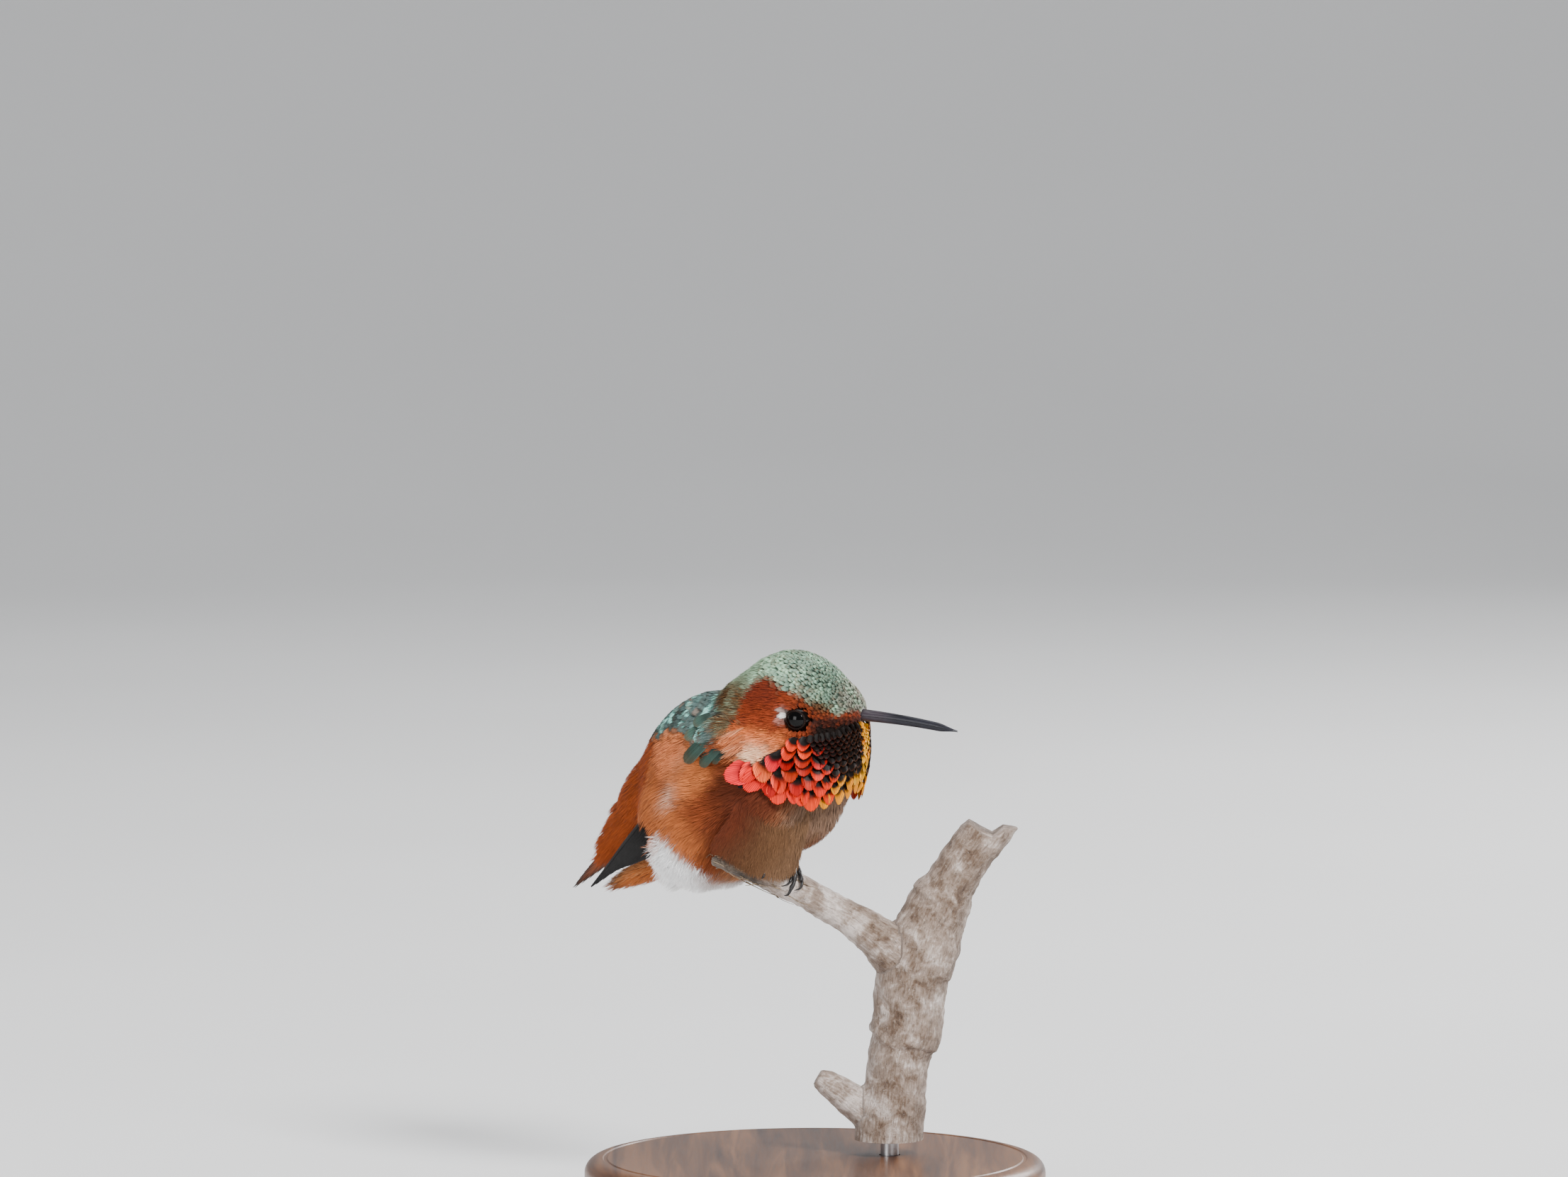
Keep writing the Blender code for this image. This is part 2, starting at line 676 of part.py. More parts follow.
def make_leg(word, name, finish):
    """A tarsus standing on the twig, with three toes round its front and one round its back."""
    centre, along, radius = twig_place(FEET[word])
    rise, front = foot_axes(along)
    ring = radius + TOE_RADIUS + GAP
    turns = [(offset, 1, 132.0) for offset in (-1, 0, 1)] + [(0.3, -1, 125.0)]
    limbs = []
    for i, (offset, way, reach) in enumerate(turns):
        steps = 7
        path, sizes = [], []
        for k in range(steps):
            share = k / (steps - 1)
            angle = math.radians(lerp(-14.0 - 2.0 * i, reach, share))
            spread = offset * TOE_SPACING * (0.35 + 0.65 * smooth(share / 0.45))
            knuckle = 1 + 0.05 * math.sin(share * 9.0 + i)
            spoke = rise * math.cos(angle) + front * (way * math.sin(angle))
            path.append(centre + spoke * (ring * knuckle) + along * spread)
            thick = TOE_RADIUS * (1.0 if share < 0.8 else 0.5)
            sizes.append((thick, thick))
        limbs.append(cutter(f"{name}_toe_{i}", tube(path, sizes, 6, up=along)))
    limbs.append(make_tarsus(word, f"{name}_tarsus"))
    return join_solids(name, limbs, finish)


def make_twig_cutter():
    """The room that the twig needs in the belly."""
    path, radii = branch_path(TWIG_LINE)
    path[-1] += (path[-1] - path[-2]).normalized() * GAP
    sizes = [(radius + GAP, radius + GAP) for radius in radii]
    return cutter("twig_cut", tube(path, sizes, 18, up=Vector((0.1, 1, 0))))


def make_foot_cutter(word):
    """The room that the toes round the twig need in the belly, and the tarsus above them."""
    centre, along, radius = twig_place(FEET[word])
    reach = along * (TOE_SPACING + TOE_RADIUS + 2 * GAP)
    room = radius + 2.4 * TOE_RADIUS + 2 * GAP
    return cutter(f"foot_cut_{word}", tube([centre - reach, centre + reach], [(room, room)] * 2, 18))


# Stand


def ring_at(centre, radius, height, sides):
    ring = []
    for k in range(sides):
        angle = 2 * math.pi * k / sides
        ring.append(Vector((centre.x + radius * math.cos(angle), centre.y + radius * math.sin(angle), height)))
    return ring


def make_stand(wood, steel):
    sides = 36
    rings = [ring_at(Vector(), radius * MM, height * MM, sides) for radius, height in BASE_PROFILE]
    for height in (BASE_HEIGHT, BASE_HEIGHT - ROD_DEPTH - GAP):
        rings.append(ring_at(STEM_FOOT, ROD_RADIUS + GAP, height, sides))
    add_object("stand_base", rings_to_solid(rings), wood)

    low, high = BASE_HEIGHT - ROD_DEPTH, STEM_FOOT.z + ROD_DEPTH
    chamfer = 0.3 * MM
    turned = (
        (ROD_RADIUS - chamfer, low),
        (ROD_RADIUS, low + chamfer),
        (ROD_RADIUS, high - chamfer),
        (ROD_RADIUS - chamfer, high),
    )
    rod = rings_to_solid([ring_at(STEM_FOOT, radius, height, 18) for radius, height in turned])
    add_object("stand_rod", rod, steel)


def main():
    for old in list(bpy.data.objects):
        bpy.data.objects.remove(old)
    plumage = {
        "rufous": material("rufous plumage", (0.55, 0.20, 0.07), 0.8),
        "green": material("bronze-green plumage", (0.16, 0.27, 0.18), 0.5, 0.3),
        "flame": material("flame gorget", (0.90, 0.17, 0.05), 0.35, 0.4),
        "dusk": material("dusky flight feathers", (0.06, 0.045, 0.04), 0.6),
    }
    horn = material("black horn", (0.03, 0.03, 0.035), 0.4)
    eye = material("dark eye", (0.01, 0.008, 0.007), 0.08)
    bark = material("weathered bark", (0.42, 0.36, 0.31), 0.85)
    wood = material("turned walnut", (0.19, 0.11, 0.07), 0.45)
    steel = material("brushed steel", (0.62, 0.62, 0.63), 0.3, 1.0)

    tools = [make_bill_cutter(), make_gorget("gorget_cut", None, GAP), make_twig_cutter()]
    tools.append(hull_cutter("tail_cut", [lambda: make_tail("tail_guide", None, GAP)]))
    tools.append(hull_cutter("undertail_cut", [lambda: make_undertail("undertail_guide", None, GAP)]))
    for word, side in SIDES.items():
        tools.append(make_eye(side, f"eye_cut_{word}", None, GAP))
        tools.append(make_wing(side, f"wing_cut_{word}", None, GAP))
        tools.append(
            hull_cutter(f"primaries_cut_{word}", [lambda: make_primaries(side, "guide", None, GAP)])
        )
        tools.append(make_foot_cutter(word))
        tools.append(make_tarsus(word, f"tarsus_cut_{word}", GAP))
    pieces = divide_flesh(make_flesh(), plumage)
    for piece in pieces:
        for tool in tools:
            boolean(piece, "DIFFERENCE", tool)
        freeze(piece)
    for tool in tools:
        bpy.data.objects.remove(tool)

    make_gorget("gorget", plumage["flame"])
    make_mandible("bill_upper", 1, horn)
    make_mandible("bill_lower", -1, horn)
    for word, side in SIDES.items():
        make_eye(side, f"eye_{word}", eye)
        make_wing(side, f"wing_{word}", plumage["green"])
        make_primaries(side, f"primaries_{word}", plumage["dusk"])
        make_leg(word, f"leg_{word}", horn)
    make_tail("tail", plumage["rufous"])
    make_undertail("undertail_coverts", plumage["rufous"])
    make_perch(bark)
    make_stand(wood, steel)


main()
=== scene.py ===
import math

import bmesh
import bpy
import numpy as np
from mathutils import Matrix, Vector
from mathutils.bvhtree import BVHTree
from mathutils.kdtree import KDTree


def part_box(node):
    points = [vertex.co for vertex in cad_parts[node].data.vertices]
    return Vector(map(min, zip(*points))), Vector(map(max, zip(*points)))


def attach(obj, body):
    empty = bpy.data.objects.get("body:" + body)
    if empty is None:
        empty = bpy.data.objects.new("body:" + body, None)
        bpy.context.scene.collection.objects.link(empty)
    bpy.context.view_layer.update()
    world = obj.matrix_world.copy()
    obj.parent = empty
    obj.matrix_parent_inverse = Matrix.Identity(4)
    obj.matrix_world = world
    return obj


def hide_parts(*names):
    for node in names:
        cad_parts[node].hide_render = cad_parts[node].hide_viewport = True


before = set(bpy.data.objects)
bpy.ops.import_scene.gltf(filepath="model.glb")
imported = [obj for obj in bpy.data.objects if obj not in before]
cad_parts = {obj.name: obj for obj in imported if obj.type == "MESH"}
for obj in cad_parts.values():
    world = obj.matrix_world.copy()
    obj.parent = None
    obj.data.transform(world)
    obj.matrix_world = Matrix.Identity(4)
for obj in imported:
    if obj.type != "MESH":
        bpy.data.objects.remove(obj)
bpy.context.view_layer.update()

# Lengths are in mm until a mesh is made, when they become metres.
MM = 0.001
CHANCE = np.random.default_rng(11)


def frame_at(origin, yaw, pitch):
    """A frame turned by yaw towards -Y and raised by pitch: forwards, the bird's left, up."""
    turn = Matrix.Rotation(math.radians(-yaw), 4, "Z") @ Matrix.Rotation(math.radians(-pitch), 4, "Y")
    return Matrix.Translation(origin) @ turn


TRUNK = frame_at((-13.4, 8.0, 68.2), 40, 45)
HEAD = frame_at((-2.6, 0.0, 81.6), 22, 0)
SIDES = {"left": 1.0, "right": -1.0}

# Rounded masses of the flesh with its plumage: centre and half-sizes, as in the solids.
TRUNK_MASSES = {
    "belly": ((-1.0, 0.0, 1.0), (17.0, 13.0, 14.6)),
    "breast": ((7.5, 0.0, -5.5), (11.5, 12.0, 12.0)),
    "flank": ((-4.5, 5.5, -1.0), (12.5, 8.4, 11.3)),
    "mantle": ((-1.0, 0.0, 6.9), (14.0, 10.0, 10.4)),
    "rump": ((-11.5, 0.0, 8.6), (11.5, 7.5, 7.6)),
    "tail_coverts": ((-19.5, 1.8, 9.9), (8.8, 3.8, 3.2)),
    "vent": ((-10.5, 3.0, -3.2), (7.5, 7.0, 7.3)),
    "arm": ((8.0, 11.3, 3.2), (8.0, 2.2, 4.0)),
}
HEAD_MASSES = {
    "skull": ((-0.8, 0.0, 0.6), (10.6, 8.0, 10.0)),
    "hindcrown": ((-5.0, 0.0, 1.0), (6.8, 6.6, 7.4)),
    "nape": ((-8.5, 0.0, -0.6), (6.2, 6.5, 6.9)),
    "brow": ((5.6, 0.0, 0.4), (6.6, 5.2, 5.8)),
    "cheek": ((-3.0, 3.5, -4.0), (7.5, 6.0, 6.0)),
    "throat": ((2.4, 0.0, -8.0), (8.0, 8.9, 8.5)),
    "neck": ((-5.0, 0.0, -7.0), (9.0, 10.2, 9.0)),
}
FLESH_VOXEL = 1.35
FLESH_SMOOTHING = 8

EYE_RADIUS = 2.2
EYE_PLACE = (2.3, 5.85, -0.4)
SOCKET_DEPTH = 1.6
LID_OPENING = (1.58, 1.42)  # half-sizes of the eye that shows
LID_SLANT = -18.0  # degrees, front corner down

BILL_LENGTH = 15.9
BILL_ROOT = 12.0
BILL_HIDDEN = 4.0
BILL_HEIGHT = 0.25
BILL_DROOP = 4.0
BILL_BEND = 0.9
BILL_WIDTH = 2.5
BILL_DEPTH = 2.0

GORGET_FRONT = 2.0
GORGET_REACH = 8.6
GORGET_HALF_WIDTH = 9.6
GORGET_CORNER = 11.0
GORGET_FLARE = 1.5
GORGET_EDGES = (
    (0.0, -1.2, -13.3),
    (0.3, -2.4, -15.2),
    (0.45, -3.2, -15.6),
    (0.6, -4.2, -14.6),
    (0.8, -6.7, -13.0),
    (1.0, -8.0, -12.2),
)

PRIMARY_LINE = (  # the folded primaries, from under the flank to the wing's tip
    (2.0, 10.6, 3.0),
    (-4.0, 11.2, 3.0),
    (-9.0, 11.2, 2.8),
    (-13.0, 10.7, 2.8),
    (-18.0, 9.2, 3.6),
    (-23.8, 7.0, 5.2),
    (-33.0, 3.4, 7.5),
)
WING_COVERTS = (  # root, middle and tip, out from the trunk's middle; width and lightness (painted shade on the covert under the others, painted glints on the brightest)
    ((13.3, 10.6, 2.5), (10.2, 12.5, 2.2), (7.2, 13.1, 1.9), 2.0, 0.3),
    ((13.5, 10.8, 1.5), (9.9, 12.8, 1.0), (6.5, 13.6, 0.6), 2.1, 1.2),
    ((12.8, 11.1, 0.3), (10.4, 12.5, -0.1), (8.4, 12.9, -0.4), 1.7, 0.9),
    ((14.0, 10.8, 3.5), (9.6, 13.2, 3.3), (4.8, 14.3, 3.0), 2.6, 1.3),
    ((10.6, 11.3, 5.9), (8.9, 12.5, 6.0), (7.0, 13.2, 6.1), 2.2, 2.2),
    ((13.8, 10.9, 4.9), (11.8, 12.2, 4.8), (9.4, 13.1, 4.6), 2.1, 0.9),
    ((12.2, 10.5, 6.9), (10.8, 11.5, 7.0), (9.2, 12.1, 7.1), 1.9, 1.7),
)
TAIL_LENGTH = 26.0
TAIL_ROOT = (-10.5, 0.0, 9.0)
TAIL_LIFT, TAIL_TURN, TAIL_ROLL, TAIL_SPLAY = 7.0, 5.0, 14.0, 0.4
UNDERTAIL_LENGTH = 17.0
UNDERTAIL_ROOT = (-13.5, 0.0, -1.2)
UNDERTAIL_LIFT = 22.0

STEM_LINE = (
    (12.2, 3.0, 7.5, 5.8),
    (12.3, 3.0, 12.5, 5.7),
    (13.4, 3.2, 19.6, 5.1),
    (14.1, 3.4, 25.2, 5.2),
    (15.2, 3.5, 29.5, 5.8),
    (15.9, 3.6, 36.4, 5.9),
    (17.8, 3.8, 42.5, 6.2),
    (19.8, 4.0, 48.0, 5.3),
    (22.9, 4.0, 54.2, 4.1),
    (26.3, 4.0, 59.2, 3.9),
    (30.5, 4.0, 65.0, 4.1),
)
TWIG_LINE = (
    (13.0, 2.6, 42.0, 4.4),
    (9.0, 1.6, 45.2, 3.2),
    (3.5, 0.4, 49.0, 2.6),
    (-3.5, -1.4, 53.0, 2.5),
    (-10.0, -3.4, 55.6, 1.8),
    (-16.8, -5.2, 57.9, 0.75),
)
STUB_LINE = (
    (10.5, 3.1, 13.8, 3.6),
    (6.4, 2.9, 16.7, 2.8),
    (3.2, 2.7, 19.0, 2.3),
    (0.4, 2.5, 20.9, 1.7),
)
STEM_FOOT = (12.3, 3.0, 10.6)
NODE_RINGS = (  # along the stem, height, width
    (7.5, 0.25, 0.5),
    (19.6, 0.5, 0.7),
    (32.0, 0.3, 0.9),
    (44.0, 0.35, 0.8),
)
BREAK_EDGE = (  # the stem's broken top: to the right, upwards
    (20.0, 60.2),
    (25.4, 63.2),
    (27.4, 61.8),
    (29.2, 60.9),
    (31.0, 62.1),
    (33.2, 62.1),
    (38.0, 60.7),
)
FEET = {"left": 0.63, "right": 0.77}  # shares of the twig
FAR_FOOT_BACK = 25.0  # degrees round the twig
TOES = (  # each toe and its claw: along the twig and degrees round it; then forwards or back
    (
        ((0.5, -10), (1.05, 35), (1.25, 56), (1.2, 71), (0.8, 83)),
        ((0.8, 83), (1.0, 102), (1.8, 119)),
        1,
    ),
    (
        ((0.1, -20), (0.15, 5), (0.45, 50), (0.28, 71), (0.1, 94), (0.2, 114)),
        ((0.2, 114), (0.25, 132), (0.58, 146)),
        1,
    ),
    (
        ((-0.4, -15), (-0.3, 15), (-0.35, 42), (-0.75, 62), (-1.1, 80)),
        ((-1.1, 80), (-1.2, 100), (-0.47, 115)),
        1,
    ),
    (
        ((0.1, -10), (0.0, 40), (0.1, 80), (0.2, 104)),
        ((0.2, 104), (0.2, 122), (0.1, 138)),
        -1,
    ),
)
TARSUS_LENGTH = 4.6
TOE_RADIUS = 0.34
CLEARANCE = 0.3
FRAYED_FIBRES = 34
ROD_HOLE, HOLE_DEPTH = 1.75, 5.3  # its radius in the base
BORE, BORE_DEPTH = 1.6, 5.3  # its radius in the stem

LENS, SENSOR = 250.0, 36.0
CAMERA_FALL = 5.0  # degrees
CAMERA_AIM = (-5.12, 0.0, 102.1)
FRAME_WIDTH = 2212 / 8.6


def ease(value, low=0.0, high=1.0):
    """0 below low, 1 above high, eased between them. Works on arrays, and with low above high."""
    share = np.clip((value - low) / (high - low), 0.0, 1.0)
    return share * share * (3 - 2 * share)


def lerp(a, b, share):
    return a + (b - a) * share


def column(values):
    return np.asarray(values)[..., None]


def unit(vectors):
    return vectors / np.maximum(np.linalg.norm(vectors, axis=-1, keepdims=True), 1e-9)


def into(place, points):
    """Points of a frame, in the world."""
    m = np.array(place)
    return points @ m[:3, :3].T + m[:3, 3]


def out_of(place, points):
    """Points of the world, in a frame."""
    return into(place.inverted(), points)


def turned(place, direction):
    return np.array(place)[:3, :3] @ np.asarray(direction, float)


def circle(count):
    """Angles all the way round."""
    return np.linspace(0, 2 * np.pi, count, endpoint=False)


def through(a, b, c, d, t):
    """Between b and c, on a smooth line through all four."""
    return 0.5 * (
        2 * b + (c - a) * t + (2 * a - 5 * b + 4 * c - d) * t**2 + (3 * b - a - 3 * c + d) * t**3
    )


def hill(*terms):
    """1 where every (value, middle, reach) is at its middle, falling off smoothly."""
    return np.exp(-sum(((value - middle) / reach) ** 2 for value, middle, reach in terms))


def srgb(*rgb):
    c = np.asarray(rgb, float)
    return np.where(c <= 0.04045, c / 12.92, ((c + 0.055) / 1.055) ** 2.4)


# Shaders


class Value:
    """A shader socket that can be reckoned with."""

    def __init__(self, finish, socket):
        self.finish, self.socket = finish, socket

    def reckon(self, operation, a, b):
        return self.finish.node("ShaderNodeMath", {"operation": operation}, {0: a, 1: b})

    def __add__(self, other):
        return self.reckon("ADD", self, other)

    def __sub__(self, other):
        return self.reckon("SUBTRACT", self, other)

    def __rsub__(self, other):
        return self.reckon("SUBTRACT", other, self)

    def __mul__(self, other):
        return self.reckon("MULTIPLY", self, other)

    __radd__ = __add__
    __rmul__ = __mul__


class Finish:
    """A material being made. constants are the Principled sockets that are the same all over."""

    def __init__(self, name, **constants):
        self.material = bpy.data.materials.new(name)
        self.material.use_nodes = True
        self.tree = self.material.node_tree
        self.shader = self.tree.nodes["Principled BSDF"]
        for socket, value in constants.items():
            self.shader.inputs[socket.replace("_", " ")].default_value = value

    def feed(self, socket, value):
        if isinstance(value, Value):
            self.tree.links.new(value.socket, socket)
        elif hasattr(value, "__len__"):
            full = list(value) + [1.0]
            socket.default_value = full[: len(socket.default_value)]
        else:
            socket.default_value = value

    def node(self, kind, settings, sockets, out=0):
        made = self.tree.nodes.new(kind)
        for name, value in settings.items():
            if name == "stops":
                ramp = made.color_ramp
                while len(ramp.elements) < len(value):
                    ramp.elements.new(0.5)
                for element, (place, colour) in zip(ramp.elements, value):
                    element.position = place
                    element.color = (*colour, 1.0)
            else:
                setattr(made, name, value)
        for name, value in sockets.items():
            self.feed(made.inputs[name], value)
        return Value(self, made.outputs[out])

    def attribute(self, name, out="Color"):
        return self.node("ShaderNodeAttribute", {"attribute_name": name}, {}, out)

    def part(self, colour, which):
        """One channel of a colour."""
        split = self.node("ShaderNodeSeparateColor", {}, {0: colour})
        return Value(self, split.socket.node.outputs[which])

    def place(self, stretch=(1.0, 1.0, 1.0), turn=(0.0, 0.0, 0.0)):
        """Object coordinates in mm, stretched by axis."""
        spot = self.node("ShaderNodeTexCoord", {}, {}, "Object")
        scale = tuple(1000.0 * s for s in stretch)
        return self.node("ShaderNodeMapping", {}, {"Vector": spot, "Rotation": turn, "Scale": scale})

    def noise(self, where, scale, detail=4.0, roughness=0.55, distortion=0.0):
        sockets = {"Vector": where, "Scale": scale, "Detail": detail}
        sockets |= {"Roughness": roughness, "Distortion": distortion}
        return self.node("ShaderNodeTexNoise", {}, sockets)

    def ramp(self, value, *stops):
        return self.node("ShaderNodeValToRGB", {"stops": stops}, {"Fac": value})

    def mask(self, value, low, high):
        settings = {"interpolation_type": "SMOOTHSTEP"}
        return self.node("ShaderNodeMapRange", settings, {0: value, 1: low, 2: high})

    def mix(self, share, a, b, blend="MIX"):
        settings = {"data_type": "RGBA", "blend_type": blend}
        return self.node("ShaderNodeMix", settings, {0: share, 6: a, 7: b}, 2)

    def tint(self, colour, factor):
        """A colour made darker or lighter by a number that varies."""
        grey = self.node("ShaderNodeCombineColor", {}, {0: factor, 1: factor, 2: factor})
        return self.mix(1.0, colour, grey, "MULTIPLY")

    def bump(self, height, strength, distance):
        sockets = {"Height": height, "Strength": strength, "Distance": distance * MM}
        return self.node("ShaderNodeBump", {}, sockets, "Normal")

    def done(self, **surface):
        for socket, value in surface.items():
            self.feed(self.shader.inputs[socket.replace("_", " ")], value)
        return self.material


# Meshes


def add_object(name, data):
    made = bpy.data.objects.new(name, data)
    bpy.context.scene.collection.objects.link(made)
    return made


def used_up(made):
    """The plain mesh that an object's modifiers leave. The object goes."""
    bpy.context.view_layer.update()
    mesh = bpy.data.meshes.new_from_object(made.evaluated_get(bpy.context.evaluated_depsgraph_get()))
    bpy.data.objects.remove(made)
    return mesh


def add_piece(name, points, faces, finish, colours=None, strand=None, patch=None, replaces=()):
    """A finished piece. points are in mm and faces is a list of index arrays, by corners a face."""
    mesh = bpy.data.meshes.new(name)
    points = np.asarray(points, float).reshape(-1, 3) * MM
    mesh.vertices.add(len(points))
    mesh.vertices.foreach_set("co", points.astype(np.float32).ravel())
    corners = np.concatenate([np.asarray(f, np.int32).ravel() for f in faces])
    counts = np.concatenate([np.full(len(f), np.asarray(f).shape[1]) for f in faces])
    mesh.loops.add(len(corners))
    mesh.loops.foreach_set("vertex_index", corners)
    mesh.polygons.add(len(counts))
    starts = np.concatenate([[0], np.cumsum(counts)[:-1]]).astype(np.int32)
    mesh.polygons.foreach_set("loop_start", starts)
    mesh.update(calc_edges=True)
    mesh.validate()
    mesh.shade_smooth()
    for label, values in (("plumage", colours), ("strand", strand)):
        if values is not None:
            layer = mesh.attributes.new(label, "FLOAT_COLOR", "POINT")
            rgba = np.ones((len(points), 4), np.float32)
            rgba[:, :3] = np.asarray(values).reshape(-1, 3)
            layer.data.foreach_set("color", rgba.ravel())
    if patch is not None:
        layer = mesh.uv_layers.new(name="OFBake")
        spread = np.asarray(patch, np.float32).reshape(-1, 2)[corners]
        layer.data.foreach_set("uv", spread.ravel())
    mesh.materials.append(finish)
    return declare(add_object(name, mesh), replaces)


def declare(made, replaces=()):
    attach(made, "root")
    if replaces:
        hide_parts(*replaces)
    return made


def add_mesh(name, bm, finish, slot, replaces=(), smooth=60):
    """A piece from a bmesh in mm, its faces turned outwards."""
    bmesh.ops.remove_doubles(bm, verts=bm.verts, dist=0.001)
    bmesh.ops.recalc_face_normals(bm, faces=bm.faces)
    bmesh.ops.scale(bm, vec=(MM, MM, MM), verts=bm.verts)
    mesh = bpy.data.meshes.new(name)
    bm.to_mesh(mesh)
    bm.free()
    mesh.materials.append(finish)
    mesh.shade_smooth()
    mesh.set_sharp_from_angle(angle=math.radians(smooth))
    made = add_object(name, mesh)
    return declare(made, replaces) if slot else made


def grid(rows, columns):
    """The quads between points that run row by row."""
    i = np.arange(rows - 1)[:, None] * columns + np.arange(columns - 1)[None, :]
    return np.stack([i, i + columns, i + columns + 1, i + 1], -1).reshape(-1, 4)


def rings_to_bmesh(rings, bm=None, closed_ends=True):
    """Faces through rings of equally many points."""
    bm = bm or bmesh.new()
    loops = [[bm.verts.new(point) for point in ring] for ring in rings]
    for a, b in zip(loops, loops[1:]):
        for i in range(len(a)):
            j = (i + 1) % len(a)
            bm.faces.new((a[i], a[j], b[j], b[i]))
    if closed_ends:
        bm.faces.new(loops[0])
        bm.faces.new(loops[-1])
    return bm


def blended(bm, voxel, smoothing, subdivision=0):
    """One closed surface round overlapping solids: corner points, triangles and normals."""
    mesh = bpy.data.meshes.new("blend")
    bm.to_mesh(mesh)
    bm.free()
    made = add_object("blend", mesh)
    remesh = made.modifiers.new("blend", "REMESH")
    remesh.mode = "VOXEL"
    remesh.voxel_size = voxel
    soften = made.modifiers.new("soften", "SMOOTH")
    soften.factor = 0.5
    soften.iterations = smoothing
    if subdivision:
        finer = made.modifiers.new("finer", "SUBSURF")
        finer.levels = finer.render_levels = subdivision
    baked = used_up(made)
    surface = Surface.of_mesh(baked)
    bpy.data.meshes.remove(baked)
    return surface


class Surface:
    """A triangulated surface in mm that points can be spread over and laid along."""

    def __init__(self, points, triangles, quads=None):
        self.points = np.asarray(points, float)
        self.triangles = np.asarray(triangles)
        self.quads = quads
        a, b, c = (self.points[self.triangles[:, k]] for k in range(3))
        cross = np.cross(b - a, c - a)
        self.areas = np.linalg.norm(cross, axis=1) / 2
        normals = np.zeros_like(self.points)
        for k in range(3):
            np.add.at(normals, self.triangles[:, k], cross)
        self.normals = unit(normals)
        self.tree = BVHTree.FromPolygons(self.points.tolist(), self.triangles.tolist())

    @classmethod
    def of_mesh(cls, mesh):
        points = np.empty(len(mesh.vertices) * 3)
        mesh.vertices.foreach_get("co", points)
        mesh.calc_loop_triangles()
        triangles = np.empty(len(mesh.loop_triangles) * 3, np.int32)
        mesh.loop_triangles.foreach_get("vertices", triangles)
        quads = np.array([p.vertices[:] for p in mesh.polygons if len(p.vertices) == 4])
        return cls(points.reshape(-1, 3), triangles.reshape(-1, 3), quads)

    def nearest(self, points):
        """The closest points of the surface and its smooth normals there."""
        places = np.empty_like(points)
        faces = np.empty(len(points), int)
        for i, point in enumerate(points):
            place, _, face, _ = self.tree.find_nearest(point)
            places[i], faces[i] = place, face
        a, b, c = (self.points[self.triangles[faces, k]] for k in range(3))
        na, nb, nc = (self.normals[self.triangles[faces, k]] for k in range(3))
        ab, ac, ap = b - a, c - a, places - a
        d00, d01, d11 = (ab * ab).sum(1), (ab * ac).sum(1), (ac * ac).sum(1)
        d20, d21 = (ap * ab).sum(1), (ap * ac).sum(1)
        scale = np.maximum(d00 * d11 - d01 * d01, 1e-12)
        v, w = column((d11 * d20 - d01 * d21) / scale), column((d00 * d21 - d01 * d20) / scale)
        return places, unit(na * (1 - v - w) + nb * v + nc * w)

    def spread(self, spacing, density):
        """Points spread evenly: spacing gives the clearance at each point, nan for none."""
        count = int(self.areas.sum() * density)
        chosen = CHANCE.choice(len(self.areas), count, p=self.areas / self.areas.sum())
        u, v = CHANCE.random((2, count, 1))
        over = u + v > 1
        u, v = np.where(over, 1 - u, u), np.where(over, 1 - v, v)
        a, b, c = (self.points[self.triangles[chosen, k]] for k in range(3))
        points = a + (b - a) * u + (c - a) * v
        clearance = spacing(points)
        wanted = ~np.isnan(clearance)
        points, clearance = points[wanted], clearance[wanted]
        tree = KDTree(len(points))
        for i, point in enumerate(points):
            tree.insert(point, i)
        tree.balance()
        free = np.ones(len(points), bool)
        kept = []
        for i in range(len(points)):
            if free[i]:
                kept.append(i)
                for _, j, _ in tree.find_range(points[i], clearance[i]):
                    free[j] = False
        return points[kept]


# The plumage: its flow, markings and unwrap

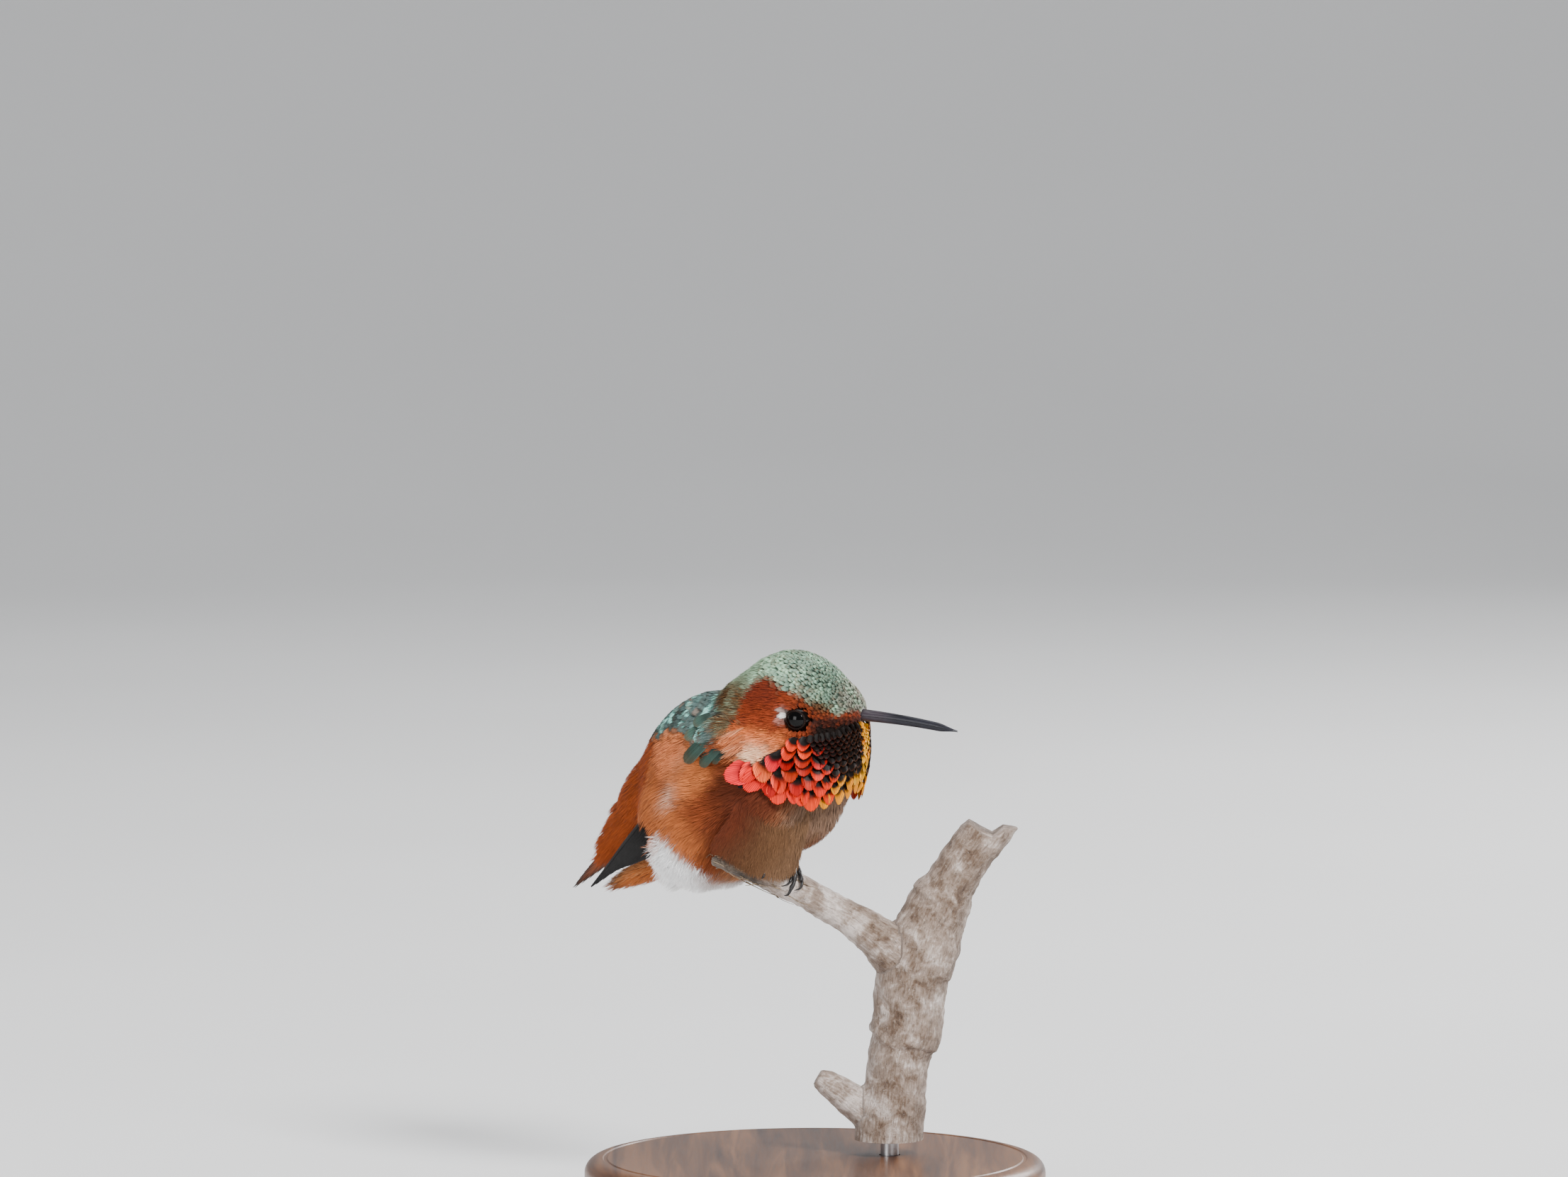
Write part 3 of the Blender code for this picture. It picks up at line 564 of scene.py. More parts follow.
CROWN_LINE = (  # where the green crown meets the rufous face: forwards, up
    (-14.0, -8.0),
    (-12.0, -6.0),
    (-10.0, -4.6),
    (-8.5, -2.8),
    (-8.3, 0.0),
    (-8.0, 2.7),
    (-6.5, 5.4),
    (-4.0, 6.6),
    (-2.4, 6.2),
    (-0.6, 4.3),
    (3.0, 3.2),
    (6.3, 1.3),
    (9.0, 1.0),
    (13.0, 0.6),
)
MANTLE_LINE = ((-3.5, 16.5), (-2.4, 14.4), (2.3, 11.4), (5.8, 8.9), (7.4, 6.0), (9.0, 2.0), (13.0, 1.0))
RUMP_LINE = ((-24.0, -2.0), (-17.0, 2.0), (-14.0, 4.0), (-8.0, 7.5), (-4.0, 10.0), (-1.0, 14.0))
COLOURS = {
    "crown": srgb(0.49, 0.62, 0.54),
    # painted glint of the green's sheen
    "crown_glint": srgb(0.80, 1.0, 0.84),
    "forehead": srgb(0.76, 0.69, 0.64),
    "bronze": srgb(0.47, 0.33, 0.20),
    "nape": srgb(0.35, 0.24, 0.13),
    "mantle": srgb(0.36, 0.46, 0.45),
    "mantle_dark": srgb(0.20, 0.22, 0.20),
    # painted glint of the mantle's sheen
    "mantle_glint": srgb(0.66, 0.98, 0.92),
    "covert": srgb(0.19, 0.27, 0.24),
    "cheek": srgb(0.54, 0.21, 0.09),
    "cheek_dark": srgb(0.43, 0.155, 0.08),
    "cheek_light": srgb(0.95, 0.50, 0.25),
    "cheek_pale": srgb(1.0, 0.80, 0.64),
    "lore": srgb(0.10, 0.05, 0.035),
    "chin": srgb(0.12, 0.07, 0.05),
    "white": srgb(0.97, 0.95, 0.92),
    "breast": srgb(0.67, 0.58, 0.48),
    "belly": srgb(0.66, 0.45, 0.30),
    "flank": srgb(0.49, 0.23, 0.11),
    # painted shade of the flank's rufous
    "flank_in_shade": srgb(0.35, 0.155, 0.085),
    "flank_light": srgb(0.83, 0.48, 0.26),
    "scapular": srgb(0.86, 0.50, 0.31),
    "vent": srgb(1.0, 1.0, 1.0),
    "rump": srgb(0.60, 0.27, 0.10),
    "fluff": srgb(0.95, 0.80, 0.70),
}
ZONES = ("crown", "nape", "face", "mantle", "rump", "flank", "belly", "vent")


def mottle(points, scale, seed):
    """A soft, even mottling between -1 and 1."""
    dice = np.random.default_rng(seed)
    waves = dice.normal(size=(7, 3)) / scale
    offsets = dice.random(7) * 6.28
    return np.sin(points @ waves.T * 2.2 + offsets).mean(-1) * 1.6


def above(line, along, height):
    """How far height is above a line of (along, height) points."""
    return height - np.interp(along, *np.array(line).T)


def landmarks(points):
    """Head and trunk places, with the sideways part made positive, and how much is head."""
    head, trunk = out_of(HEAD, points), out_of(TRUNK, points)
    head[..., 1], trunk[..., 1] = np.abs(head[..., 1]), np.abs(trunk[..., 1])
    share = ease(trunk[..., 0], 9.5, 13.0) * ease(head[..., 2], -13.0, -9.5)
    return head, trunk, share


def zones(points):
    """The kind of feather at each point, as a number of ZONES."""
    head, trunk, share = landmarks(points)
    ragged = mottle(points, 0.9, 3) * 0.7
    green = above(CROWN_LINE, head[:, 0], head[:, 2]) + ragged > 0
    on_head = share > 0.5
    low = trunk[:, 2] + 0.5 * trunk[:, 1]
    found = np.full(len(points), ZONES.index("flank"))
    found[low < -8 + ragged] = ZONES.index("belly")
    found[(above(RUMP_LINE, trunk[:, 0], trunk[:, 2]) > 0) & (trunk[:, 0] < 0)] = ZONES.index("rump")
    mantle = (above(MANTLE_LINE, trunk[:, 0], trunk[:, 2]) + ragged > 0) & (trunk[:, 0] > -3.0 + ragged)
    found[mantle] = ZONES.index("mantle")
    behind = trunk[:, 0] < -8.2 + 0.5 * ragged
    found[behind & (trunk[:, 2] < -1.5 + ragged) & (trunk[:, 2] > -10.6)] = ZONES.index("vent")
    found[on_head & ~green] = ZONES.index("face")
    found[on_head & green] = ZONES.index("nape")
    found[on_head & green & (head[:, 0] > -4.5 + ragged)] = ZONES.index("crown")
    return found


def painted(colour, layers):
    """Colours laid over one another: each is a name in COLOURS and how much it covers."""
    for name, cover in layers:
        colour = colour + (COLOURS[name] - colour) * column(np.clip(cover, 0, 1))
    return colour


def markings(points):
    """The plumage's colour at each point, with painted glints on the green and painted shade on the flank.
    """
    head, trunk, share = landmarks(points)
    hx, _, hz = np.moveaxis(head, -1, 0)
    tx, ty, tz = np.moveaxis(trunk, -1, 0)
    soft, fine = mottle(points, 1.6, 5), mottle(points, 0.6, 6)
    low = tz + 0.5 * ty

    # under: painted shadow that the gorget casts on the front of the flank
    under = ease(tx, 1.0, 7.0) * ease(low, -11.0, -6.0) * ease(tz + 0.5 * tx, 4.5, 0.0)
    fluff = hill((tx, 3.0, 2.4), (tz, 5.1, 1.6)) + 0.6 * hill((tx, -2.2, 2.6), (tz, 1.8, 1.5))
    mantle = ease(above(MANTLE_LINE, tx, tz) + soft, -0.6, 0.6) * ease(tx + soft, -3.5, -1.5)
    beside = ease(tx, -3.5, -1.0) * ease(tx, 8.5, 6.0) * ease(tz, 3.5, 7.0) * (1 - mantle)
    vent = ease(tz, -11.4, -9.0) * ease(tx + 0.4 * soft, -7.6, -9.0)
    body = painted(
        np.broadcast_to(COLOURS["belly"], points.shape),
        (
            ("breast", ease(tx + 0.6 * soft, 3.5, 10.5) * ease(low, -9.0, -12.5)),
            ("flank", ease(low + soft, -11.5, -5.0)),
            ("flank_in_shade", 0.85 * under * (1 + 0.4 * soft)),
            ("flank_light", 0.6 * ease(tx, 0.0, -5.5) * ease(low, -6.0, -1.0)),
            # painted shade, darker over the lower front of the body
            ("flank_in_shade", 0.6 * ease(low + 0.6 * soft, 3.0, -3.5) * ease(tx, -8.0, -2.0)),
            ("fluff", fluff * (0.9 + 0.5 * fine)),
            ("flank_light", 0.8 * ease(tz, -3.0, 0.0) * ease(tx, -3.0, 1.0) * ease(tx, 9.0, 5.0)),
            ("rump", ease(above(RUMP_LINE, tx, tz) + soft, -1.0, 0.6) * ease(tx, 1.0, -1.0)),
            ("scapular", beside * (0.8 + 0.3 * fine)),
            ("mantle", mantle),
            ("mantle_dark", mantle * 0.8 * ease(mottle(points, 0.45, 12), 0.2, 0.8)),
            # painted glints on the mantle
            ("mantle_glint", mantle * ease(mottle(points, 0.75, 14) + 0.3 * fine, 0.2, 0.6)),
            ("scapular", mantle * 0.22 * ease(mottle(points, 0.8, 13), 0.5, 1.0)),
            ("vent", vent * ease(tz + 0.4 * soft, -0.5, -2.5)),
        ),
    )

    height = above(CROWN_LINE, hx, hz)
    green = ease(height + 0.6 * soft, -0.5, 0.7)
    rim = np.hypot(hx - EYE_PLACE[0], hz - EYE_PLACE[2])
    # glint: painted glints of the crown's sheen, fewer on the nape
    glint = 0.45 * ease(mottle(points, 0.5, 8) + 0.5 * soft, -0.2, 0.9) * (1 - 0.5 * ease(hx, -4.0, -8.0))
    face = painted(
        np.broadcast_to(COLOURS["cheek"], points.shape),
        (
            ("cheek_dark", 0.8 * ease(hz + soft, 0.0, 2.5) * ease(hx, 0.5, -2.5)),
            ("cheek_light", 0.75 * ease(hz + soft, -0.5, -3.5) * ease(hx, 2.5, -1.0)),
            ("cheek_pale", hill((hx, -5.2, 3.4), (hz, -6.4, 2.0)) * (1.0 + 0.3 * fine)),
            ("lore", 0.9 * (hill((hz, -0.75, 0.55)) * ease(hx, 3.2, 4.6))),
            ("chin", ease(hz + 0.3 * fine, -0.9, -1.7) * ease(hx, 3.8, 5.6)),
            ("lore", 0.6 * ease(rim, 2.05, 1.65)),
            ("white", 1.3 * hill((hx + 0.1 + 0.2 * fine, 0, 0.6), (hz - 0.35 + 0.3 * soft, 0, 0.75))),
            ("crown", green),
            ("nape", green * ease(hx, -3.0, -7.0)),
            ("bronze", green * 0.6 * ease(fine, 0.0, 0.7) * ease(height, 6.0, 1.0)),
            ("forehead", green * 0.55 * ease(hx, 6.5, 10.5)),
            ("nape", 0.85 * hill((hx, 5.5, 2.8), (height, 0.2, 1.1))),
            # painted glints, and a painted highlight over the top of the hindcrown
            ("crown_glint", green * (glint + 0.35 * ease(hx, 1.0, -4.0) * ease(hz, 3.5, 7.0))),
        ),
    )
    return body + (face - body) * column(share)


def flow(points):
    """The lie of the coat: backwards from the bill to the tail."""
    head, trunk, share = landmarks(points)
    back = np.stack([-np.ones(len(points)), 0 * share, -0.28 * ease(head[:, 2], 4.0, -3.0)], -1)
    gap = head - EYE_PLACE
    reach = np.hypot(gap[:, 0], gap[:, 2])
    detour = ease(reach, 4.5, 2.0) * ease(gap[:, 0], -1.5, 1.0) * ease(head[:, 1], 3.0, 5.0)
    back[:, 2] += 1.6 * detour * np.sign(gap[:, 2] + 0.2)
    on_head = unit(back) @ np.array(HEAD)[:3, :3].T
    sides = ease(trunk[:, 1], 6.0, 10.0)
    up = 0.65 * sides * ease(trunk[:, 2], -9.0, -3.0) * ease(trunk[:, 2], 8.0, 3.0)
    up = up * ease(trunk[:, 0], -6.0, 0.0)
    down = 0.35 * ease(trunk[:, 2], -2.0, -8.0) * ease(trunk[:, 0], -4.0, -9.0)
    under = 0.7 * ease(trunk[:, 2], -8.0, -12.0)
    down = down + under * ease(trunk[:, 0], 7.0, 3.0) * ease(trunk[:, 0], -7.0, -3.0)
    on_trunk = unit(np.stack([-np.ones(len(points)), 0 * up, up - down], -1)) @ np.array(TRUNK)[:3, :3].T
    return unit(lerp(on_trunk, on_head, column(share)))


def unwrap(points):
    """Each point's place on an unwrap of the skin: round the body, and from tail to bill."""
    head, trunk = out_of(HEAD, points), out_of(TRUNK, points)
    share = column(ease(trunk[..., 0], 8.0, 16.0))
    spot = lerp(trunk, head + np.array([17.0, 0.0, 0.0]), share)
    turn = np.arctan2(spot[..., 1], spot[..., 2] - 1.0) / (2 * math.pi)
    return np.stack([0.5 + 0.94 * turn, 0.06 + 0.88 * (spot[..., 0] + 30.0) / 62.0], -1)


# Feathers

PATCH = 0.003  # across, on the unwrap


def lay(surface, roots, lengths, flow_at, steps=5, stray=0.0):
    """Lines that lie along the surface from the roots, with its normals: both (n, steps + 1, 3)."""
    place, normal = surface.nearest(roots)
    swing = CHANCE.normal(0, 1, len(roots)) * stray
    line, normals = [place], [normal]
    for _ in range(steps):
        along = flow_at(place)
        along = unit(along - normal * column((along * normal).sum(1)))
        along = along * column(np.cos(swing)) + np.cross(normal, along) * column(np.sin(swing))
        place, normal = surface.nearest(place + along * column(lengths) / steps)
        line.append(place)
        normals.append(normal)
    return np.stack(line, 1), np.stack(normals, 1)


def stand_straight(line, normals, ahead, lengths):
    """Lines that leave the surface at their roots and run straight on, as at the end of a body."""
    t = np.linspace(0, 1, line.shape[1])[None, :, None]
    first = unit(line[:, 1] - line[:, 0])
    way = unit(lerp(first, ahead, 0.75) - normals[:, 0] * 0.05)
    straight = line[:, :1] + way[:, None] * t * lengths[:, None, None]
    return straight, np.broadcast_to(normals[:, :1], normals.shape)


def along_line(values, share):
    """Values given by step along each line, read at shares that may differ by line."""
    steps = values.shape[1] - 1
    spot = np.clip(share, 0, 1) * steps
    low = np.minimum(spot.astype(int), steps - 1)
    rows = np.arange(len(values)).reshape(-1, *[1] * (share.ndim - 1))
    part = column(spot - low)
    return values[rows, low] * (1 - part) + values[rows, low + 1] * part


def across_line(line, normals):
    """The sideways direction at each step of each line."""
    ahead = np.gradient(line, axis=1)
    return unit(np.cross(normals, ahead))


def patches(roots, across, along):
    """A patch of the unwrap at each root."""
    spot = np.stack([across, along - 0.5], -1) * PATCH
    return unwrap(roots)[:, None, None] + spot


def barbs(
    name, line, normals, lengths, widths, colours, finish, slot, replaces=(), strips=9, segments=4,
    thin=0.13, depth=0.8, lift=0.15, rounded=0.3, fan=0.45, loose=0.12, vary=0.07, root_shade=0.62,
):
    """Tufts of narrow tapering strips, fanned along the laid lines."""
    n = len(line)
    place = np.linspace(-1, 1, strips)[None, :] + CHANCE.normal(0, 0.5 / strips, (n, strips))
    step = np.linspace(0, 1, segments + 1)
    reach = 1 - rounded * place**2 - 0.12 * CHANCE.random((n, strips))
    share = step[None, None, :] * reach[..., None]
    middle = along_line(line, share)
    up = along_line(normals, share)
    side = along_line(across_line(line, normals), share)
    out = step[None, None, :]
    spread = widths[:, None, None] * 0.5 * place[..., None] * (fan + (1 - fan) * out**0.8)
    bend = CHANCE.normal(0, loose, (n, strips))[..., None] * lengths[:, None, None] * out**2
    rise = CHANCE.normal(0, loose * 0.6, (n, strips))[..., None] * lengths[:, None, None] * out**2
    arch = 1 - 0.25 * place[..., None] ** 2
    height = (-depth * (1 - out) ** 1.3 + (lift * out**1.5) * arch) + np.abs(rise) * 0.7 + rise * 0.3
    spot = middle + side * (spread + bend)[..., None] + up * height[..., None]
    roll = CHANCE.normal(0, 0.35, (n, strips, 1))
    half = thin * (1 - 0.55 * out) * (0.8 + 0.4 * CHANCE.random((n, strips, 1)))
    edge = (side * np.cos(roll)[..., None] + up * np.sin(roll)[..., None]) * half[..., None]
    rows = np.stack([spot[:, :, :-1] - edge[:, :, :-1], spot[:, :, :-1] + edge[:, :, :-1]], 3)
    body = rows.reshape(n, strips, 2 * segments, 3)
    points = np.concatenate([body, spot[:, :, -1:]], 2)
    per = 2 * segments + 1
    first = (np.arange(n * strips) * per)[:, None, None]
    k = np.arange(segments - 1)[None, :, None] * 2
    quads = (first + k + np.array([0, 2, 3, 1])[None, None]).reshape(-1, 4)
    tips = (first[:, 0] + 2 * (segments - 1) + np.array([[1, 0, 2]])).reshape(-1, 3)
    t = np.append(np.repeat(step[:-1], 2), 1.0)
    shade = 1 + CHANCE.normal(0, vary, (n, strips, 1))
    shade = shade * (1 + CHANCE.normal(0, 0.05, (n, 1, 1)))
    shade = shade * (root_shade + (1 - root_shade) * ease(t, 0.0, 0.75))
    tone = colours[:, None, None, :] * shade[..., None]
    own = CHANCE.random((n, strips, 1))
    strand = np.stack(np.broadcast_arrays(t, place[..., None] * 0.5 + 0.5, own), -1)
    patch = patches(line[:, 0], np.broadcast_to(place[..., None] * 0.5, strand.shape[:3]), strand[..., 0])
    tone = np.clip(tone, 0, 1)
    return add_piece(name, points, [quads, tips], finish, tone, strand, patch, replaces)


def vanes(
    name, line, normals, lengths, widths, colours, finish, slot, replaces=(), pleats=6, rows=4, depth=0.5,
    lift=0.1, cup=0.25, ridge=0.05, cut=0.06, rounded=0.72, blunt=None, base=0.35, stagger=0.12, vary=0.06,
    groove=0.2, root_shade=0.35, scatter=0.06, lit=None, dark=None, tip=None, tip_share=0.5,
):
    """Whole feathers with a rounded, finely cut rim, pleated into barbs, along the laid lines.

    lit is the share of each feather that stays dark in painted shade, dark is that shade's colour, and
    blunt sets back the rim's corners.
    """
    n, columns = len(line), 2 * pleats + 1
    q = np.linspace(-1, 1, columns)
    odd = (np.arange(columns) % 2)[None, :]
    step = np.linspace(0, 1, rows + 1)
    if blunt is None:
        reach = np.sqrt(np.clip(1 - (rounded * q) ** 2, 0, 1))[None, :]
    else:
        reach = 1 - column(blunt) * (1 - np.sqrt(1 - (0.98 * q[None, :]) ** 2))
    reach = reach - cut * (1 - odd) - cut * 0.6 * CHANCE.random((n, columns))
    share = step[None, None, :] * reach[..., None]
    middle, up = along_line(line, share), along_line(normals, share)
    side = along_line(across_line(line, normals), share)
    t = step[None, None, :]
    wide = base + (1 - base) * np.sin(t * math.pi * 0.5) ** 0.9
    spread = widths[:, None, None] * 0.5 * q[None, :, None] * wide
    height = -depth * (1 - t) ** 1.2 + lift * t**1.4
    height = height - cup * widths[:, None, None] * 0.25 * q[None, :, None] ** 2
    height = height + ridge * (odd[..., None] - 0.5) * t * widths[:, None, None] / 2
    height = height + (CHANCE.random((n, 1, 1)) - 0.5) * stagger
    points = middle + side * spread[..., None] + up * height[..., None]
    per = columns * (rows + 1)
    first = (np.arange(n) * per)[:, None, None, None]
    c = np.arange(columns - 1)[None, :, None, None] * (rows + 1)
    r = np.arange(rows)[None, None, :, None]
    quads = (first + c + r + np.array([0, 1, rows + 2, rows + 1])).reshape(-1, 4)
    shade = 1 + CHANCE.normal(0, vary, (n, columns, 1))
    # painted shade in the grooves between the barbs
    shade = shade * (1 - groove * (1 - odd[..., None]) * ease(t, 0.2, 0.8))
    shade = shade * (root_shade + (1 - root_shade) * ease(t, 0.25, 0.8))
    shade = shade * (1 + CHANCE.normal(0, scatter, (n, 1, 1)))
    tone = colours[:, None, None, :] * shade[..., None]
    if lit is not None:
        glow = ease(t - lit[:, None, None], -0.16, 0.1)
        tone = dark + (tone - dark) * glow[..., None]
    if tip is not None:
        share = tip_share * ease(t, 0.72, 1.0) * (0.3 + 1.4 * CHANCE.random((n, 1, 1)))
        tone = tone + (tip - tone) * np.clip(share, 0, 1)[..., None]
    strand = np.stack(np.broadcast_arrays(t, q[None, :, None] * 0.5 + 0.5, CHANCE.random((n, 1, 1))), -1)
    patch = patches(line[:, 0], np.broadcast_to(q[None, :, None] * 0.5, strand.shape[:3]), strand[..., 0])
    return add_piece(name, points, [quads], finish, np.clip(tone, 0, 1), strand, patch, replaces)


# Finishes


def coat_finish(name, roughness, metallic=0.0, sheen=0.08, grain=0.16, specular=0.15):
    """Plumage: the markings, a fine mottling of its own and barbs catching the light."""
    made = Finish(name, Sheen_Weight=sheen, Sheen_Roughness=0.45, Specular_IOR_Level=specular)
    where = made.place()
    fine = made.noise(where, 3.2, 5.0, 0.65)
    broad = made.noise(where, 0.35, 3.0)
    colour = made.tint(made.attribute("plumage"), 1.0 - grain + fine * (2 * grain) + (broad - 0.5) * 0.14)
    rough = roughness + (fine - 0.5) * 0.2
    shine = {"Metallic": metallic * made.mask(broad, 0.2, 0.7)} if metallic else {}
    return made.done(Base_Color=colour, Roughness=rough, Normal=made.bump(fine, 0.25, 0.05), **shine)


def flight_finish():
    """Flight feathers: barbs slanting from the shaft, which is the strand's middle."""
    made = Finish("flight feather", Sheen_Weight=0.05, Specular_IOR_Level=0.15)
    along, across = (made.part(made.attribute("strand"), k) for k in (0, 1))
    out = made.node("ShaderNodeMath", {"operation": "ABSOLUTE"}, {0: across - 0.5})
    ridge = made.node("ShaderNodeMath", {"operation": "SINE"}, {0: (along * 420.0) - (out * 150.0)})
    where = made.place()
    soft = made.noise(where, 0.8, 4.0)
    colour = made.tint(made.attribute("plumage"), 0.86 + ridge * 0.07 + soft * 0.26)
    height = ridge * 0.5 + soft
    return made.done(Base_Color=colour, Roughness=0.5 + soft * 0.25, Normal=made.bump(height, 0.35, 0.05))


def horn_finish(name, low, high, roughness=0.38, gloss=0.45):
    made = Finish(name, Specular_IOR_Level=gloss, Coat_Weight=gloss * 0.25, Coat_Roughness=0.3)
    where = made.place((0.35, 1.0, 1.0))
    grain = made.noise(where, 3.0, 6.0, 0.6)
    cloud = made.noise(where, 0.5, 3.0)
    colour = made.ramp(grain * 0.5 + cloud * 0.5, (0.3, low), (0.7, high))
    rough = roughness + (grain - 0.5) * 0.3
    return made.done(Base_Color=colour, Roughness=rough, Normal=made.bump(grain, 0.3, 0.04))


RUFOUS, GREEN = "rufous_plumage", "green_plumage"
SOFT = coat_finish("soft plumage", 0.78)
DOWN = coat_finish("white down", 0.85, sheen=0.3, grain=0.05)
BRONZE = coat_finish("bronze-green plumage", 0.5, 0.45, 0.0, 0.2, 0.25)
FLAME = coat_finish("flame gorget", 0.46, 0.3, 0.0, 0.12, 0.15)
FLIGHT = flight_finish()

# The bird's surface, its skin and coat


def both_sides(masses):
    for centre, radii in masses.values():
        yield centre, radii
        if centre[1]:
            yield (centre[0], -centre[1], centre[2]), radii


def make_envelope():
    bm = bmesh.new()
    for where, masses in ((TRUNK, TRUNK_MASSES), (HEAD, HEAD_MASSES)):
        for centre, radii in both_sides(masses):
            place = where @ Matrix.Translation(centre) @ Matrix.Diagonal((*radii, 1))
            bmesh.ops.create_uvsphere(bm, u_segments=40, v_segments=26, radius=1, matrix=place)
    return blended(bm, FLESH_VOXEL, FLESH_SMOOTHING, 1)


def coat_depth(points):
    """How far the skin lies below the coat's surface."""
    _, trunk, share = landmarks(points)
    body = 0.95 + 0.5 * ease(trunk[..., 0], -5.0, -9.0)
    return lerp(body, 0.45, share)


def make_skin(envelope):
    points = envelope.points - envelope.normals * column(coat_depth(envelope.points))
    head = out_of(HEAD, points)
    for side in SIDES.values():
        gap = head - np.array(EYE_PLACE) * (1, side, 1)
        near = ease(np.hypot(gap[:, 0], gap[:, 2]), 2.9, 1.5) * (gap[:, 1] * side > -2)
        head[:, 1] -= side * SOCKET_DEPTH * near
    # Painted shade: the plumage's colours darkened for the skin that shows between the tufts.
    colours = markings(envelope.points) * 0.72
    quads = envelope.quads
    corner = unwrap(envelope.points)[quads]
    jump = (corner[..., 0].max(1) - corner[..., 0].min(1)) > 0.5
    corner[..., 0] = np.where(jump[:, None] & (corner[..., 0] < 0.5), corner[..., 0] + 0.94, corner[..., 0])
    flesh = ("head", "neck", "trunk")
    skin = add_piece("skin", into(HEAD, head), [quads], SKIN, colours, replaces=flesh)
    layer = skin.data.uv_layers.new(name="OFBake")
    layer.data.foreach_set("uv", (corner * (0.96, 1.0)).astype(np.float32).ravel())


def skin_finish():
    made = Finish("skin under the coat", Sheen_Weight=0.2, Specular_IOR_Level=0.2)
    where = made.place()
    follicle = made.node("ShaderNodeTexVoronoi", {"feature": "F1"}, {"Vector": where, "Scale": 1.4})
    fine = made.noise(where, 2.5, 6.0, 0.7)
    colour = made.tint(made.attribute("plumage"), 0.72 + fine * 0.5 - follicle * 0.15)
    rough = 0.75 + fine * 0.2
    return made.done(Base_Color=colour, Roughness=rough, Normal=made.bump(fine - follicle, 0.6, 0.15))


SKIN = skin_finish()
SPACING = {
    "crown": 0.43,
    "nape": 0.6,
    "face": 0.5,
    "mantle": 0.85,
    "rump": 0.8,
    "flank": 0.72,
    "belly": 0.78,
    "vent": 0.6,
}


def spacing(points):
    """How far apart tufts stand at each point: nan under the eyes, the bill and the folded wings."""
    found = zones(points)
    wanted = np.array([SPACING[name] for name in ZONES])[found]
    head, trunk, _ = landmarks(points)
    wanted = wanted * np.where(found == ZONES.index("crown"), 0.9 + 0.35 * ease(head[:, 0], 8.0, -4.0), 1.0)
    eye = np.hypot((head[:, 0] - EYE_PLACE[0]) / 1.25, head[:, 2] - EYE_PLACE[2]) < 1.2
    bill = (head[:, 0] > 9.0) & (np.hypot(head[:, 1], head[:, 2] + 0.3) < 1.3)
    wing = (trunk[:, 0] > -17.0) & (trunk[:, 0] < -7.4) & (trunk[:, 2] > -0.8) & (trunk[:, 2] < 4.0)
    wanted[(eye & (head[:, 1] > 4.0)) | bill | (wing & (trunk[:, 1] > 6.0))] = np.nan
    return wanted


def clear_of_eye(line):
    """Lines whose far half stays off the eye."""
    head = out_of(HEAD, line)
    slant = math.radians(LID_SLANT)
    x, z = head[..., 0] - EYE_PLACE[0], head[..., 2] - EYE_PLACE[2]
    along, up = x * math.cos(slant) + z * math.sin(slant), z * math.cos(slant) - x * math.sin(slant)
    inside = np.hypot(along / (LID_OPENING[0] + 0.16), up / (LID_OPENING[1] + 0.16)) < 1
    return ~(inside & (np.abs(head[..., 1]) > 4.0)).any(1)


